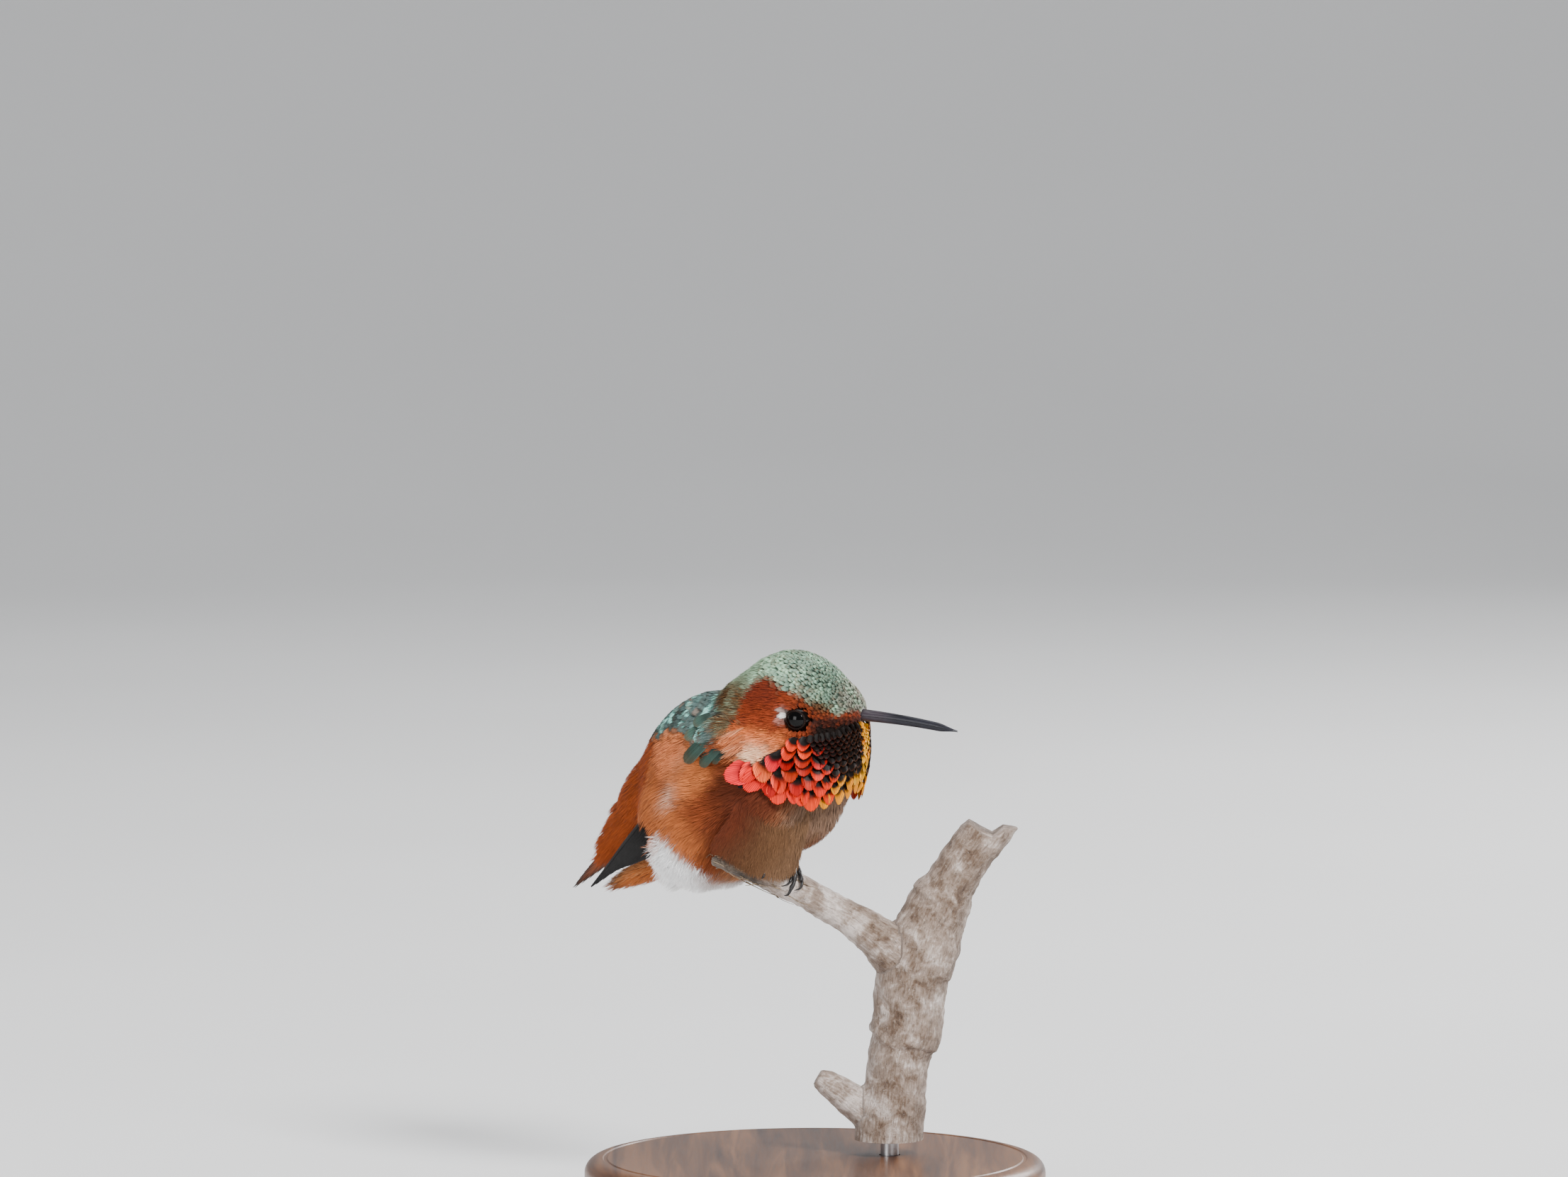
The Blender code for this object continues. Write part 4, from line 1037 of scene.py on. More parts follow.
def make_coat(envelope):
    roots = envelope.spread(spacing, 9.0)
    found = zones(roots)
    trunk = out_of(TRUNK, roots)

    def grow(zone, name, maker, look, length, width, where=True, stray=0.08, **style):
        """The tufts of a zone. length and width are numbers, or functions of head and trunk places."""
        chosen = roots[(found == ZONES.index(zone)) & where]
        places = landmarks(chosen)[:2]
        sizes = [size(*places) if callable(size) else size for size in (length, width)]
        lengths, widths = (np.broadcast_to(size, len(chosen)) for size in sizes)
        lengths = lengths * (0.9 + 0.2 * CHANCE.random(len(chosen)))
        line, normals = lay(envelope, chosen, lengths, flow, 5, stray)
        keep = clear_of_eye(line)
        line, normals, lengths, widths = line[keep], normals[keep], lengths[keep], widths[keep]
        maker(name, line, normals, lengths, widths, markings(line[:, 3]), *look, **style)

    def crown_length(head, trunk):
        return lerp(0.95, 1.5, ease(head[:, 0], 9.0, -3.0))

    def crown_width(head, trunk):
        return lerp(0.68, 1.0, ease(head[:, 0], 9.0, -3.0))

    def face_length(head, trunk):
        return lerp(0.9, 2.3, ease(head[:, 0], 6.0, -4.0))

    def face_width(head, trunk):
        return lerp(0.55, 1.25, ease(head[:, 0], 6.0, -4.0))

    def flank_length(head, trunk):
        return lerp(3.4, 4.4, ease(trunk[:, 0], 2.0, -5.0))

    def belly_length(head, trunk):
        return lerp(3.1, 4.6, ease(trunk[:, 0], 6.5, 0.0) * ease(trunk[:, 2], -9.0, -12.5))

    def vent_length(head, trunk):
        longer = 1.1 * ease(trunk[:, 0], -8.8, -10.8) * ease(trunk[:, 0], -14.4, -12.5)
        return lerp(1.9, 3.2, ease(trunk[:, 2], -9.6, -6.0)) + longer * ease(trunk[:, 2], -8.0, -5.0)

    green, rufous = (BRONZE, GREEN), (SOFT, RUFOUS)
    long_coat = {"segments": 4, "thin": 0.08, "depth": 0.8, "fan": 0.5, "root_shade": 0.66}
    grow(
        "crown", "crown_scales", vanes, green, crown_length, crown_width, pleats=4, rows=3, depth=0.35,
        lift=0.06, cup=0.2, ridge=0.12, cut=0.14, root_shade=0.3, rounded=0.85,
        tip=COLOURS["bronze"] * 0.7, tip_share=0.4, vary=0.14, stagger=0.05, groove=0.4, scatter=0.12,
    )
    grow(
        "nape", "nape_coat", barbs, green, 2.5, 1.4, strips=9, segments=3, thin=0.09, depth=0.45, lift=0.12,
        fan=0.6, root_shade=0.4, vary=0.2, loose=0.05,
    )
    grow(
        "face", "face_coat", barbs, rufous, face_length, face_width, strips=8, segments=3, thin=0.07,
        depth=0.4, lift=0.07, fan=0.6, root_shade=0.4, vary=0.16, loose=0.04,
    )
    grow(
        "mantle", "mantle_coat", vanes, green, 2.8, 2.3, pleats=9, rows=5, depth=0.6, lift=0.06, cup=0.2,
        ridge=0.05, cut=0.18, root_shade=0.35, rounded=0.7, tip=COLOURS["nape"] * 0.9, tip_share=0.28,
        vary=0.16, stagger=0.12, groove=0.35, scatter=0.14,
    )
    for word, side in SIDES.items():
        grow(
            "flank", f"flank_coat_{word}", barbs, rufous, flank_length, 2.1, np.sign(trunk[:, 1]) == side,
            strips=13, lift=0.14, vary=0.1, loose=0.04, **long_coat,
        )
    grow(
        "rump", "rump_coat", barbs, rufous, 3.6, 2.1, trunk[:, 0] > -17.5, strips=12, lift=0.12, vary=0.1,
        loose=0.03, **long_coat | {"thin": 0.085},
    )
    grow(
        "belly", "belly_coat", barbs, rufous, belly_length, 2.1, strips=13, lift=0.15, vary=0.09,
        loose=0.045, **long_coat,
    )
    grow(
        "vent", "vent_fluff", barbs, (DOWN, RUFOUS), vent_length, 2.6,
        (trunk[:, 0] < -8.4) & (trunk[:, 0] > -14.4), 0.3, strips=16, segments=5, thin=0.05, depth=1.2,
        lift=0.7, fan=0.3, root_shade=0.9, vary=0.04, loose=0.11, rounded=0.3,
    )


SKIRT_REACH = (  # along the twig's run, and how high on the twig the tips end, in radii
    (-17.2, 0.9),
    (-14.6, 0.0),
    (-12.0, -0.45),
    (-9.5, -0.55),
    (-6.0, -0.2),
    (-4.6, 0.3),
    (-2.9, 1.3),
    (-0.4, 3.6),
)
SKIRT_LEAN = ((-17.2, 2.2), (-10.0, 1.8), (-2.9, 3.6))
SKIRT_DROP = 9.0
SKIRT_COLUMNS, SKIRT_ROWS = 87, 7


def make_skirt(envelope):
    """Belly feathers that come down in rows over the front of the twig, hiding the near foot."""
    path, radii = branch(TWIG_LINE, 12)
    x = np.linspace(SKIRT_REACH[0][0], SKIRT_REACH[-1][0], SKIRT_COLUMNS)
    order = np.argsort(path[:, 0])
    y, z, radius = (np.interp(x, path[order, 0], v[order]) for v in (path[:, 1], path[:, 2], radii))
    tips = np.stack([x, y - radius - 0.5, z + radius * np.interp(x, *np.array(SKIRT_REACH).T)], -1)
    close, slope = envelope.nearest(tips)
    tips = lerp(tips, close + 0.3 * slope, column(ease(x, -3.6, -0.8)))
    before = np.full(SKIRT_COLUMNS, -11.0)
    lean = np.interp(x, *np.array(SKIRT_LEAN).T)
    tops, normals = envelope.nearest(np.stack([x + lean, before, tips[:, 2] + SKIRT_DROP], -1))
    fall = np.array([0.0, 0.0, -1.0]) - normals * column(-normals[:, 2])
    first = tops + unit(fall) * 3.4
    second = tips + np.array([0.2, -0.7, 2.6])
    steps = 40
    t = np.linspace(0, 1, steps + 1)[None, :, None]
    curves = tops[:, None] * (1 - t) ** 3 + 3 * first[:, None] * t * (1 - t) ** 2
    curves = curves + 3 * second[:, None] * t**2 * (1 - t) + tips[:, None] * t**3
    outward = unit(np.cross(np.gradient(curves, axis=1), np.gradient(curves, axis=0)))
    outward = outward * np.where(outward[..., 1:2] > 0, -1, 1)
    near = markings(tops)
    shaded, lit = np.array([0.25, 0.24, 0.23]), np.array([0.38, 0.42, 0.44])
    lines, ups, lengths, tones = [], [], [], []
    for row in range(SKIRT_ROWS):
        for k in range(SKIRT_COLUMNS):
            begin = 0.1 * row + 0.05 * (k % 2) + 0.02 * CHANCE.normal()
            share = np.clip(np.linspace(begin, begin + 0.36, 6), 0, 1 + 0.03 * CHANCE.normal()) * steps
            low = np.clip(share.astype(int), 0, steps - 1)
            part = column(share - low)
            line = curves[k, low] * (1 - part) + curves[k, low + 1] * part
            lines.append(line + outward[k, low] * 0.12)
            ups.append(outward[k, low])
            lengths.append(np.linalg.norm(line[-1] - line[0]))
            # the belly's colour darkened by painted shade, most towards the skirt's rear end
            deep = COLOURS["belly"] * lerp(shaded, lit, ease(x[k], -14.5, -6.0))
            warm = lerp(near[k] * 0.95, deep, ease(x[k] + 0.4 * row, -16.5, -9.5))
            tones.append(lerp(warm, COLOURS["breast"], 0.1 * ease(x[k] + 0.6 * row, -8.0, -2.0)))
    lines, ups, lengths, tones = (np.array(v) for v in (lines, ups, lengths, tones))
    barbs(
        "belly_skirt", lines, ups, lengths, np.full(len(lines), 1.6), tones, SOFT, RUFOUS, strips=15,
        segments=4, thin=0.06, depth=0.4, lift=0.12, fan=0.6, root_shade=0.72, vary=0.12, loose=0.04,
        rounded=0.5,
    )


# Gorget


def gorget_points(share, height, depth):
    """Points of the bib: share from -1 at the right corner to 1, height down from the top edge."""
    bow = 0.6
    away, side = np.abs(share), np.where(share >= 0, 1.0, -1.0)
    places, tops, bottoms = np.array(GORGET_EDGES).T
    top, bottom = np.interp(away, places, tops), np.interp(away, places, bottoms)
    back = np.maximum(away - bow, 0) / (1 - bow)
    angle = np.pi / 2 * np.minimum(away / bow, 1)
    front = 1 - ease(away / bow)
    swell = 0.8 * np.sin(np.pi * np.clip(height, 0, 1)) - depth
    swell = swell + front * (0.9 * (1 - height) - 1.0 * height) + 0.9 * height * ease(away, 0.3, 0.55)
    forwards = GORGET_FRONT + (GORGET_REACH + swell) * np.cos(angle) - GORGET_CORNER * back
    sideways = (GORGET_HALF_WIDTH + swell) * np.sin(angle) + GORGET_FLARE * back
    return into(HEAD, np.stack([forwards, side * sideways, lerp(top, bottom, height)], -1))


def sheet(rows, columns, spot):
    """A grid of points and its quads: spot takes shares down and across."""
    down, across = np.meshgrid(np.linspace(0, 1, rows), np.linspace(0, 1, columns), indexing="ij")
    points = spot(down.ravel(), across.ravel())
    return points, grid(rows, columns)


def gorget_flow(points):
    head = out_of(HEAD, points)
    back = ease(head[:, 0], 5.5, -2.0)
    out = np.sign(head[:, 1]) * 0.12
    return into(HEAD, np.stack([-1.2 * back, out, -1.0 + 0.62 * back], -1)) - np.array(HEAD)[:3, 3]


GORGET_DARK = (  # where the shaded scales end: forwards, up
    (-2.0, -1.0),
    (0.5, -3.4),
    (2.9, -4.4),
    (5.0, -5.7),
    (6.4, -7.0),
    (7.8, -9.0),
    (9.2, -10.4),
    (10.7, -9.0),
)
# The painted shade of the gorget: the unlit parts of its scales and the sheet under them.
GORGET_SHADE = srgb(0.07, 0.045, 0.035)
SIDE_SCALES = (  # across and down at the tip and at the root, width, tone, and how much stays dark in painted shade
    (-0.98, 0.46, -0.82, 0.27, 4.4, 0, 0.00),
    (-0.87, 0.63, -0.78, 0.11, 3.5, 1, 0.10),
    (-0.85, 0.86, -0.74, 0.32, 4.0, 1, 0.00),
    (-0.74, 0.63, -0.74, 0.07, 3.8, 2, 0.00),
    (-0.69, 0.42, -0.68, 0.04, 3.0, 0, 0.20),
    (-0.63, 0.80, -0.65, 0.38, 2.9, 1, 0.10),
    (-0.70, 0.90, -0.69, 0.47, 3.2, 3, 0.15),
    (-0.65, 1.00, -0.65, 0.56, 3.9, 1, 0.10),
    (-0.61, 0.26, -0.58, 0.02, 2.6, 4, 0.20),
    (-0.58, 0.14, -0.56, -0.08, 2.5, 4, 0.35),
    (-0.50, 0.16, -0.48, -0.04, 2.3, 4, 0.60),
    (-0.49, 0.27, -0.47, 0.05, 2.6, 4, 0.50),
    (-0.60, 0.42, -0.60, 0.18, 2.8, 3, 0.30),
    (-0.57, 0.60, -0.57, 0.30, 3.1, 3, 0.25),
    (-0.50, 0.39, -0.49, 0.17, 2.9, 3, 0.45),
    (-0.49, 0.50, -0.48, 0.27, 2.9, 3, 0.45),
    (-0.53, 0.79, -0.53, 0.49, 2.8, 3, 0.25),
    (-0.55, 0.91, -0.54, 0.62, 2.7, 1, 0.25),
    (-0.50, 0.92, -0.50, 0.64, 2.7, 4, 0.25),
    (-0.44, 0.97, -0.44, 0.66, 3.5, 4, 0.15),
    (-0.45, 0.69, -0.45, 0.45, 2.7, 3, 0.30),
    (-0.40, 0.58, -0.39, 0.37, 2.7, 4, 0.50),
    (-0.40, 0.43, -0.38, 0.23, 2.8, 3, 0.55),
    (-0.38, 0.80, -0.38, 0.55, 2.8, 4, 0.35),
    (-0.40, 0.25, -0.39, 0.07, 2.3, 3, 0.75),
    (-0.33, 0.72, -0.33, 0.49, 2.4, 4, 0.60),
    (-0.34, 0.52, -0.33, 0.33, 2.4, 4, 0.75),
    (-0.31, 0.92, -0.32, 0.68, 2.4, 4, 0.30),
    (-0.34, 0.97, -0.35, 0.73, 2.4, 5, 0.30),
    (-0.22, 0.97, -0.23, 0.75, 2.1, 5, 0.20),
    (-0.13, 0.95, -0.15, 0.73, 2.0, 5, 0.25),
    (-0.27, 0.81, -0.27, 0.60, 2.1, 5, 0.55),
    (-0.23, 0.72, -0.23, 0.52, 2.0, 5, 0.70),
    (-0.29, 0.64, -0.28, 0.45, 2.1, 4, 0.75),
    (-0.13, 0.84, -0.15, 0.63, 1.9, 5, 0.35),
    (-0.01, 0.96, -0.08, 0.70, 1.9, 5, 0.10),
)
ROWS_END = (  # across and down, where the rows give way to the side scales
    (0.0, 0.93),
    (0.1, 0.80),
    (0.2, 0.66),
    (0.29, 0.56),
    (0.34, 0.44),
    (0.40, 0.24),
    (0.46, 0.0),
    (0.5, -1.0),
)
SIDE_TONES = (
    srgb(1.0, 0.05, 0.18),
    srgb(1.0, 0.13, 0.10),
    srgb(1.0, 0.40, 0.20),
    srgb(0.74, 0.03, 0.01),
    srgb(0.94, 0.15, 0.01),
    srgb(1.0, 0.62, 0.03),
)


# Where the scales flare gold: a painted glint at the front of the bib, along its middle and its low edge.
def gorget_gold_glint(points):
    head = out_of(HEAD, points)
    hx, hy, hz = head[:, 0], np.abs(head[:, 1]), head[:, 2]
    soft = mottle(points, 1.3, 9)
    gold = ease(hy + 0.35 * soft, 1.9, 1.0) * ease(hx, 8.0, 10.0)
    gold = np.clip(gold + ease(hz, -8.6, -11.5) * ease(hy + soft, 5.2, 3.2), 0, 1)
    return gold * ease(hx, 5.0, 8.0)


def gorget_dusk(points):
    """How little of each scale lights up: 0 for the whole scale, 1 for none of it."""
    head = out_of(HEAD, points)
    gap = head[:, 2] - np.interp(head[:, 0], *np.array(GORGET_DARK).T) + 0.5 * mottle(points, 1.1, 10)
    dusk = ease(gap, -5.0, 0.4) * ease(head[:, 0], -2.5, 2.5)
    return np.clip(dusk + 0.3 * ease(head[:, 0], 7.0, 9.5), 0, 1) * (1 - 0.85 * gorget_gold_glint(points))


def gorget_markings(points):
    head = out_of(HEAD, points)
    stops = np.array([-8.0, -4.0, -1.0, 1.5, 5.0, 8.0, 10.5])
    tones = np.array(
        [
            srgb(1.0, 0.11, 0.19),
            srgb(1.0, 0.18, 0.15),
            srgb(1.0, 0.22, 0.08),
            srgb(0.92, 0.07, 0.02),
            srgb(0.92, 0.10, 0.015),
            srgb(0.95, 0.22, 0.015),
            srgb(1.0, 0.50, 0.03),
        ]
    )
    spot = head[:, 0] + 1.1 * mottle(points, 1.3, 9)
    colour = np.stack([np.interp(spot, stops, tones[:, k]) for k in range(3)], -1)
    # the gold of the painted glint
    return lerp(colour, srgb(1.0, 0.70, 0.05), column(gorget_gold_glint(points)))


def make_gorget():
    def whole(down, across):
        return gorget_points(2.3 * across - 1.15, 1.2 * down - 0.1, 0.0)

    def under(down, across):
        return gorget_points(1.8 * across - 0.9, 0.78 * down + 0.02, 0.6)

    points, quads = sheet(26, 110, whole)
    surface = Surface(points, np.concatenate([quads[:, [0, 1, 2]], quads[:, [0, 2, 3]]]))
    outward = out_of(HEAD, points)
    if ((surface.normals @ np.array(HEAD)[:3, 0]) * (outward[:, 0] > 6)).sum() < 0:
        surface.normals = -surface.normals
    table = np.array(GORGET_EDGES).T
    shares = np.linspace(-1, 1, 801)
    middle = gorget_points(shares, np.full(801, 0.6), 0.0)
    run = np.concatenate([[0], np.cumsum(np.linalg.norm(np.diff(middle, axis=0), axis=1))])
    run -= run[-1] / 2
    roots, lengths, widths = [], [], []
    up, row = 2.1, 0
    while up < 15.0:
        size = lerp(3.5, 1.3, min(up / 10.5, 1.0) ** 1.25)
        gap = size * 0.8
        count = int(run[-1] * 2 / gap)
        spots = (np.arange(count) + 0.5 * (row % 2)) * gap - run[-1] + gap * 0.25
        spots = spots + CHANCE.normal(0, 0.06 * gap, count)
        share = np.interp(spots, run, shares)
        away = np.abs(share)
        bottom, top = np.interp(away, table[0], table[2]), np.interp(away, table[0], table[1])
        level = up + 1.1 * ease(share, 0.1, 0.3) * ease(share, 0.8, 0.6)
        height = (top - (bottom + level)) / (top - bottom)
        low = height + 1.1 * size / (top - bottom)
        good = (height > -0.06) & (low < np.interp(away, *np.array(ROWS_END).T))
        roots.append(gorget_points(share[good], height[good], 0.0))
        lengths.append(np.full(good.sum(), size * 1.12))
        widths.append(np.full(good.sum(), size * 1.08))
        up += size * 0.5
        row += 1
    roots, lengths, widths = (np.concatenate(v) for v in (roots, lengths, widths))
    lengths = lengths * (0.94 + 0.12 * CHANCE.random(len(lengths)))
    line, normals = lay(surface, roots, lengths, gorget_flow, 6, 0.07)
    across, down, back, top, wide, tones, dark = np.tile(np.array(SIDE_SCALES), (2, 1)).T
    flip = np.repeat([1.0, -1.0], len(SIDE_SCALES))
    ends, starts = gorget_points(across * flip, down, 0.0), gorget_points(back * flip, top, 0.0)
    reach = np.linalg.norm(ends - starts, axis=1)
    more, ups = lay(surface, starts, reach, lambda p: unit(ends - starts), 6, 0.0)
    lit = np.concatenate([lerp(0.12, 1.12, gorget_dusk(line[:, 3])), lerp(0.34, 1.05, dark)])
    own = np.array(SIDE_TONES)[tones.astype(int)]
    colours = np.concatenate([gorget_markings(line[:, 5]), own])
    line, normals = np.concatenate([line, more]), np.concatenate([normals, ups])
    lengths, widths = np.concatenate([lengths, reach]), np.concatenate([widths, wide])
    colours = colours * (0.86 + 0.14 * CHANCE.random((len(line), 1)))
    amber = column(0.25 * CHANCE.random(len(line)) ** 2)
    colours = lerp(colours, np.maximum(colours, srgb(1.0, 0.42, 0.10)), amber)
    vanes(
        "gorget_scales", line, normals, lengths, widths, colours, FLAME, "gorget_plumage", ("gorget",),
        pleats=14, rows=7, depth=0.75, lift=0.28, cup=0.06, ridge=0.02, cut=0.06, root_shade=0.05,
        groove=0.55, rounded=0.9, base=0.3, vary=0.14, stagger=0.1, lit=lit, dark=GORGET_SHADE,
    )
    # A dark sheet under the scales in the painted shade colour, so the gaps between scales read as shade.
    backing, quads = sheet(14, 60, under)
    backing_shade = np.broadcast_to(GORGET_SHADE, backing.shape)
    add_piece("gorget_under", backing, [quads], SKIN, backing_shade, patch=unwrap(backing))


# Eyes


def eye_finish():
    made = Finish("dark eye", Coat_Weight=0.12, Coat_Roughness=0.01, Specular_IOR_Level=0.12)
    pupil = made.mask(made.part(made.attribute("strand"), 0), 0.36, 0.42)
    fibre = made.noise(made.place(), 6.0, 5.0)
    iris = made.ramp(fibre, (0.3, srgb(0.02, 0.012, 0.01)), (0.75, srgb(0.05, 0.03, 0.02)))
    colour = made.mix(pupil, (0.001, 0.001, 0.001), iris)
    return made.done(Base_Color=colour, Roughness=0.08 + fibre * 0.06, Normal=made.bump(fibre, 0.05, 0.02))


def beads_tree(finish):
    """Beads set evenly along a curve, smaller by chance, as one mesh."""
    tree = bpy.data.node_groups.new("beads along a rim", "GeometryNodeTree")
    face = tree.interface
    face.new_socket(name="Geometry", in_out="INPUT", socket_type="NodeSocketGeometry")
    for name, kind in (("Count", "Int"), ("Radius", "Float"), ("Seed", "Int")):
        face.new_socket(name=name, in_out="INPUT", socket_type=f"NodeSocket{kind}")
    face.new_socket(name="Geometry", in_out="OUTPUT", socket_type="NodeSocketGeometry")
    add, link = tree.nodes.new, tree.links.new
    source, sink = add("NodeGroupInput"), add("NodeGroupOutput")
    curve, beads = add("GeometryNodeMeshToCurve"), add("GeometryNodeCurveToPoints")
    shape, lot = add("GeometryNodeMeshIcoSphere"), add("FunctionNodeRandomValue")
    place, real = add("GeometryNodeInstanceOnPoints"), add("GeometryNodeRealizeInstances")
    dress = add("GeometryNodeSetMaterial")
    shape.inputs["Subdivisions"].default_value = 2
    lot.inputs[2].default_value, lot.inputs[3].default_value = 0.6, 1.2
    for a, b in (
        (source.outputs["Geometry"], curve.inputs["Mesh"]),
        (curve.outputs["Curve"], beads.inputs["Curve"]),
        (source.outputs["Count"], beads.inputs["Count"]),
        (source.outputs["Radius"], shape.inputs["Radius"]),
        (source.outputs["Seed"], lot.inputs["Seed"]),
        (beads.outputs["Points"], place.inputs["Points"]),
        (shape.outputs["Mesh"], place.inputs["Instance"]),
        (lot.outputs[1], place.inputs["Scale"]),
        (place.outputs["Instances"], real.inputs["Geometry"]),
        (real.outputs["Geometry"], dress.inputs["Geometry"]),
        (dress.outputs["Geometry"], sink.inputs["Geometry"]),
    ):
        link(a, b)
    dress.inputs["Material"].default_value = finish
    return tree


def grown(name, source, tree, values):
    """The plain mesh that a node tree makes of an object, which is used up."""
    step = source.modifiers.new("grow", "NODES")
    step.node_group = tree
    for item in tree.interface.items_tree:
        if item.item_type == "SOCKET" and item.in_out == "INPUT" and item.name in values:
            step[item.identifier] = values[item.name]
    mesh = used_up(source)
    mesh.name = name
    mesh.shade_smooth()
    return declare(add_object(name, mesh))


def rim_object(points):
    mesh = bpy.data.meshes.new("rim")
    count = len(points)
    mesh.from_pydata([Vector(p) * MM for p in points], [(i, (i + 1) % count) for i in range(count)], [])
    return add_object("rim", mesh)


LID_PROFILE = (  # outwards from the opening, and out from the eyeball
    (-0.10, 0.0),
    (-0.07, 0.06),
    (0.0, 0.1),
    (0.08, 0.09),
    (0.16, 0.03),
    (0.32, -0.1),
    (0.55, -0.35),
)


def lid_ring(side, grow, out):
    """A ring round the eye's opening, grown by so much and standing out from the eyeball."""
    angle = circle(64)
    slant = math.radians(LID_SLANT)
    a, b = (LID_OPENING[0] + grow) * np.cos(angle), (LID_OPENING[1] + grow) * np.sin(angle)
    x, z = a * math.cos(slant) - b * math.sin(slant), a * math.sin(slant) + b * math.cos(slant)
    radius = EYE_RADIUS + out
    depth = np.sqrt(np.maximum(radius**2 - x**2 - z**2, (0.35 * radius) ** 2))
    return into(HEAD, (np.stack([x, depth, z], -1) + EYE_PLACE) * (1, side, 1))


def make_eyes():
    ball = eye_finish()
    rim = horn_finish("eyelid", srgb(0.05, 0.03, 0.025), srgb(0.12, 0.07, 0.055), 0.75, 0.1)
    bead = horn_finish("eyelid bead", srgb(0.16, 0.11, 0.09), srgb(0.36, 0.26, 0.21), 0.75, 0.1)
    tree = beads_tree(bead)
    for word, side in SIDES.items():
        centre = into(HEAD, np.array([EYE_PLACE[0], side * EYE_PLACE[1], EYE_PLACE[2]]))
        bm = bmesh.new()
        bmesh.ops.create_uvsphere(bm, u_segments=64, v_segments=40, radius=EYE_RADIUS)
        axis = Vector(turned(HEAD, (0.12, side, 0.02))).normalized()
        turn = axis.to_track_quat("Z", "Y").to_matrix().to_4x4()
        bmesh.ops.transform(bm, matrix=Matrix.Translation(centre) @ turn, verts=bm.verts)
        points = np.array([v.co[:] for v in bm.verts])
        eyeball = add_mesh(f"eyeball_{word}", bm, ball, "eye", (f"eye_{word}",), 180)
        off = np.degrees(np.arccos(np.clip((points - centre) @ np.array(axis) / EYE_RADIUS, -1, 1))) / 90
        values = np.zeros((len(eyeball.data.vertices), 4), np.float32)
        values[:, 0] = off[: len(values)]
        layer = eyeball.data.attributes.new("strand", "FLOAT_COLOR", "POINT")
        layer.data.foreach_set("color", values.ravel())
        rings = [lid_ring(side, *point) for point in LID_PROFILE]
        add_mesh(f"eyelids_{word}", rings_to_bmesh(rings, closed_ends=False), rim, "horn", (), 80)
        along = rim_object(lid_ring(side, 0.12, 0.1))
        grown(f"eyelid_beads_{word}", along, tree, {"Count": 34, "Radius": 0.05 * MM, "Seed": 3})


# Bill


def bill_line(share):
    run = share * (BILL_HIDDEN + BILL_LENGTH)
    angle = math.radians(BILL_DROOP)
    bend = BILL_BEND * (max(run - BILL_HIDDEN, 0) / BILL_LENGTH) ** 2.2
    forwards = BILL_ROOT - BILL_HIDDEN + run * math.cos(angle)
    return np.array([forwards, 0.0, BILL_HEIGHT - run * math.sin(angle) - bend])


def bill_finish():
    """Dark slate horn, paler and pinkish at the root."""
    made = Finish("bill horn", Specular_IOR_Level=0.25, Coat_Weight=0.06, Coat_Roughness=0.3)
    grain = made.noise(made.place((0.25, 1.0, 1.0)), 3.4, 5.0, 0.55)
    cloud = made.noise(made.place(), 0.35, 3.0)
    across = made.node("ShaderNodeSeparateXYZ", {}, {0: made.place()})
    root = made.mask(across, 13.5, 10.0)
    tone = grain * 0.4 + cloud * 0.6
    base = made.ramp(tone, (0.3, srgb(0.05, 0.05, 0.065)), (0.7, srgb(0.14, 0.14, 0.18)))
    colour = made.mix(root * 0.4, base, srgb(0.27, 0.22, 0.25))
    return made.done(Base_Color=colour, Roughness=0.34 + grain * 0.12, Normal=made.bump(grain, 0.12, 0.03))


def make_bill():
    finish = bill_finish()
    for name, side in (("bill_upper", 1), ("bill_lower", -1)):
        rings = []
        steps, sides = 60, 28
        for i in range(steps):
            share = i / (steps - 1)
            taper = 1 - 0.42 * share - 0.46 * ease((share - 0.82) / 0.18)
            across = BILL_WIDTH / 2 * (0.55 + 0.45 * (1 - ease(share / 0.5))) * taper
            deep = BILL_DEPTH / 2 * taper
            ring = []
            for k in range(sides):
                angle = math.pi * k / (sides - 1)
                ridge = 1 + 0.10 * math.exp(-(((angle - math.pi / 2) / 0.35) ** 2)) * (side > 0)
                groove = 0.10 * math.exp(-(((abs(angle - math.pi / 2) - 0.75) / 0.16) ** 2))
                groove *= ease((share - 0.2) / 0.05) * ease((0.62 - share) / 0.2) * (side > 0)
                height = max(deep * math.sin(angle) * (ridge - groove), 0.0) + 0.03
                wide = across * math.cos(angle) * (1 - groove)
                ring.append(Vector(into(HEAD, bill_line(share) + np.array([0, wide, side * height]))))
            rings.append(ring)
        add_mesh(f"{name}_horn", rings_to_bmesh(rings), finish, "horn", (name,), 50)


# Wings, tail and the coverts under it


SHAFT_SIDES = 6


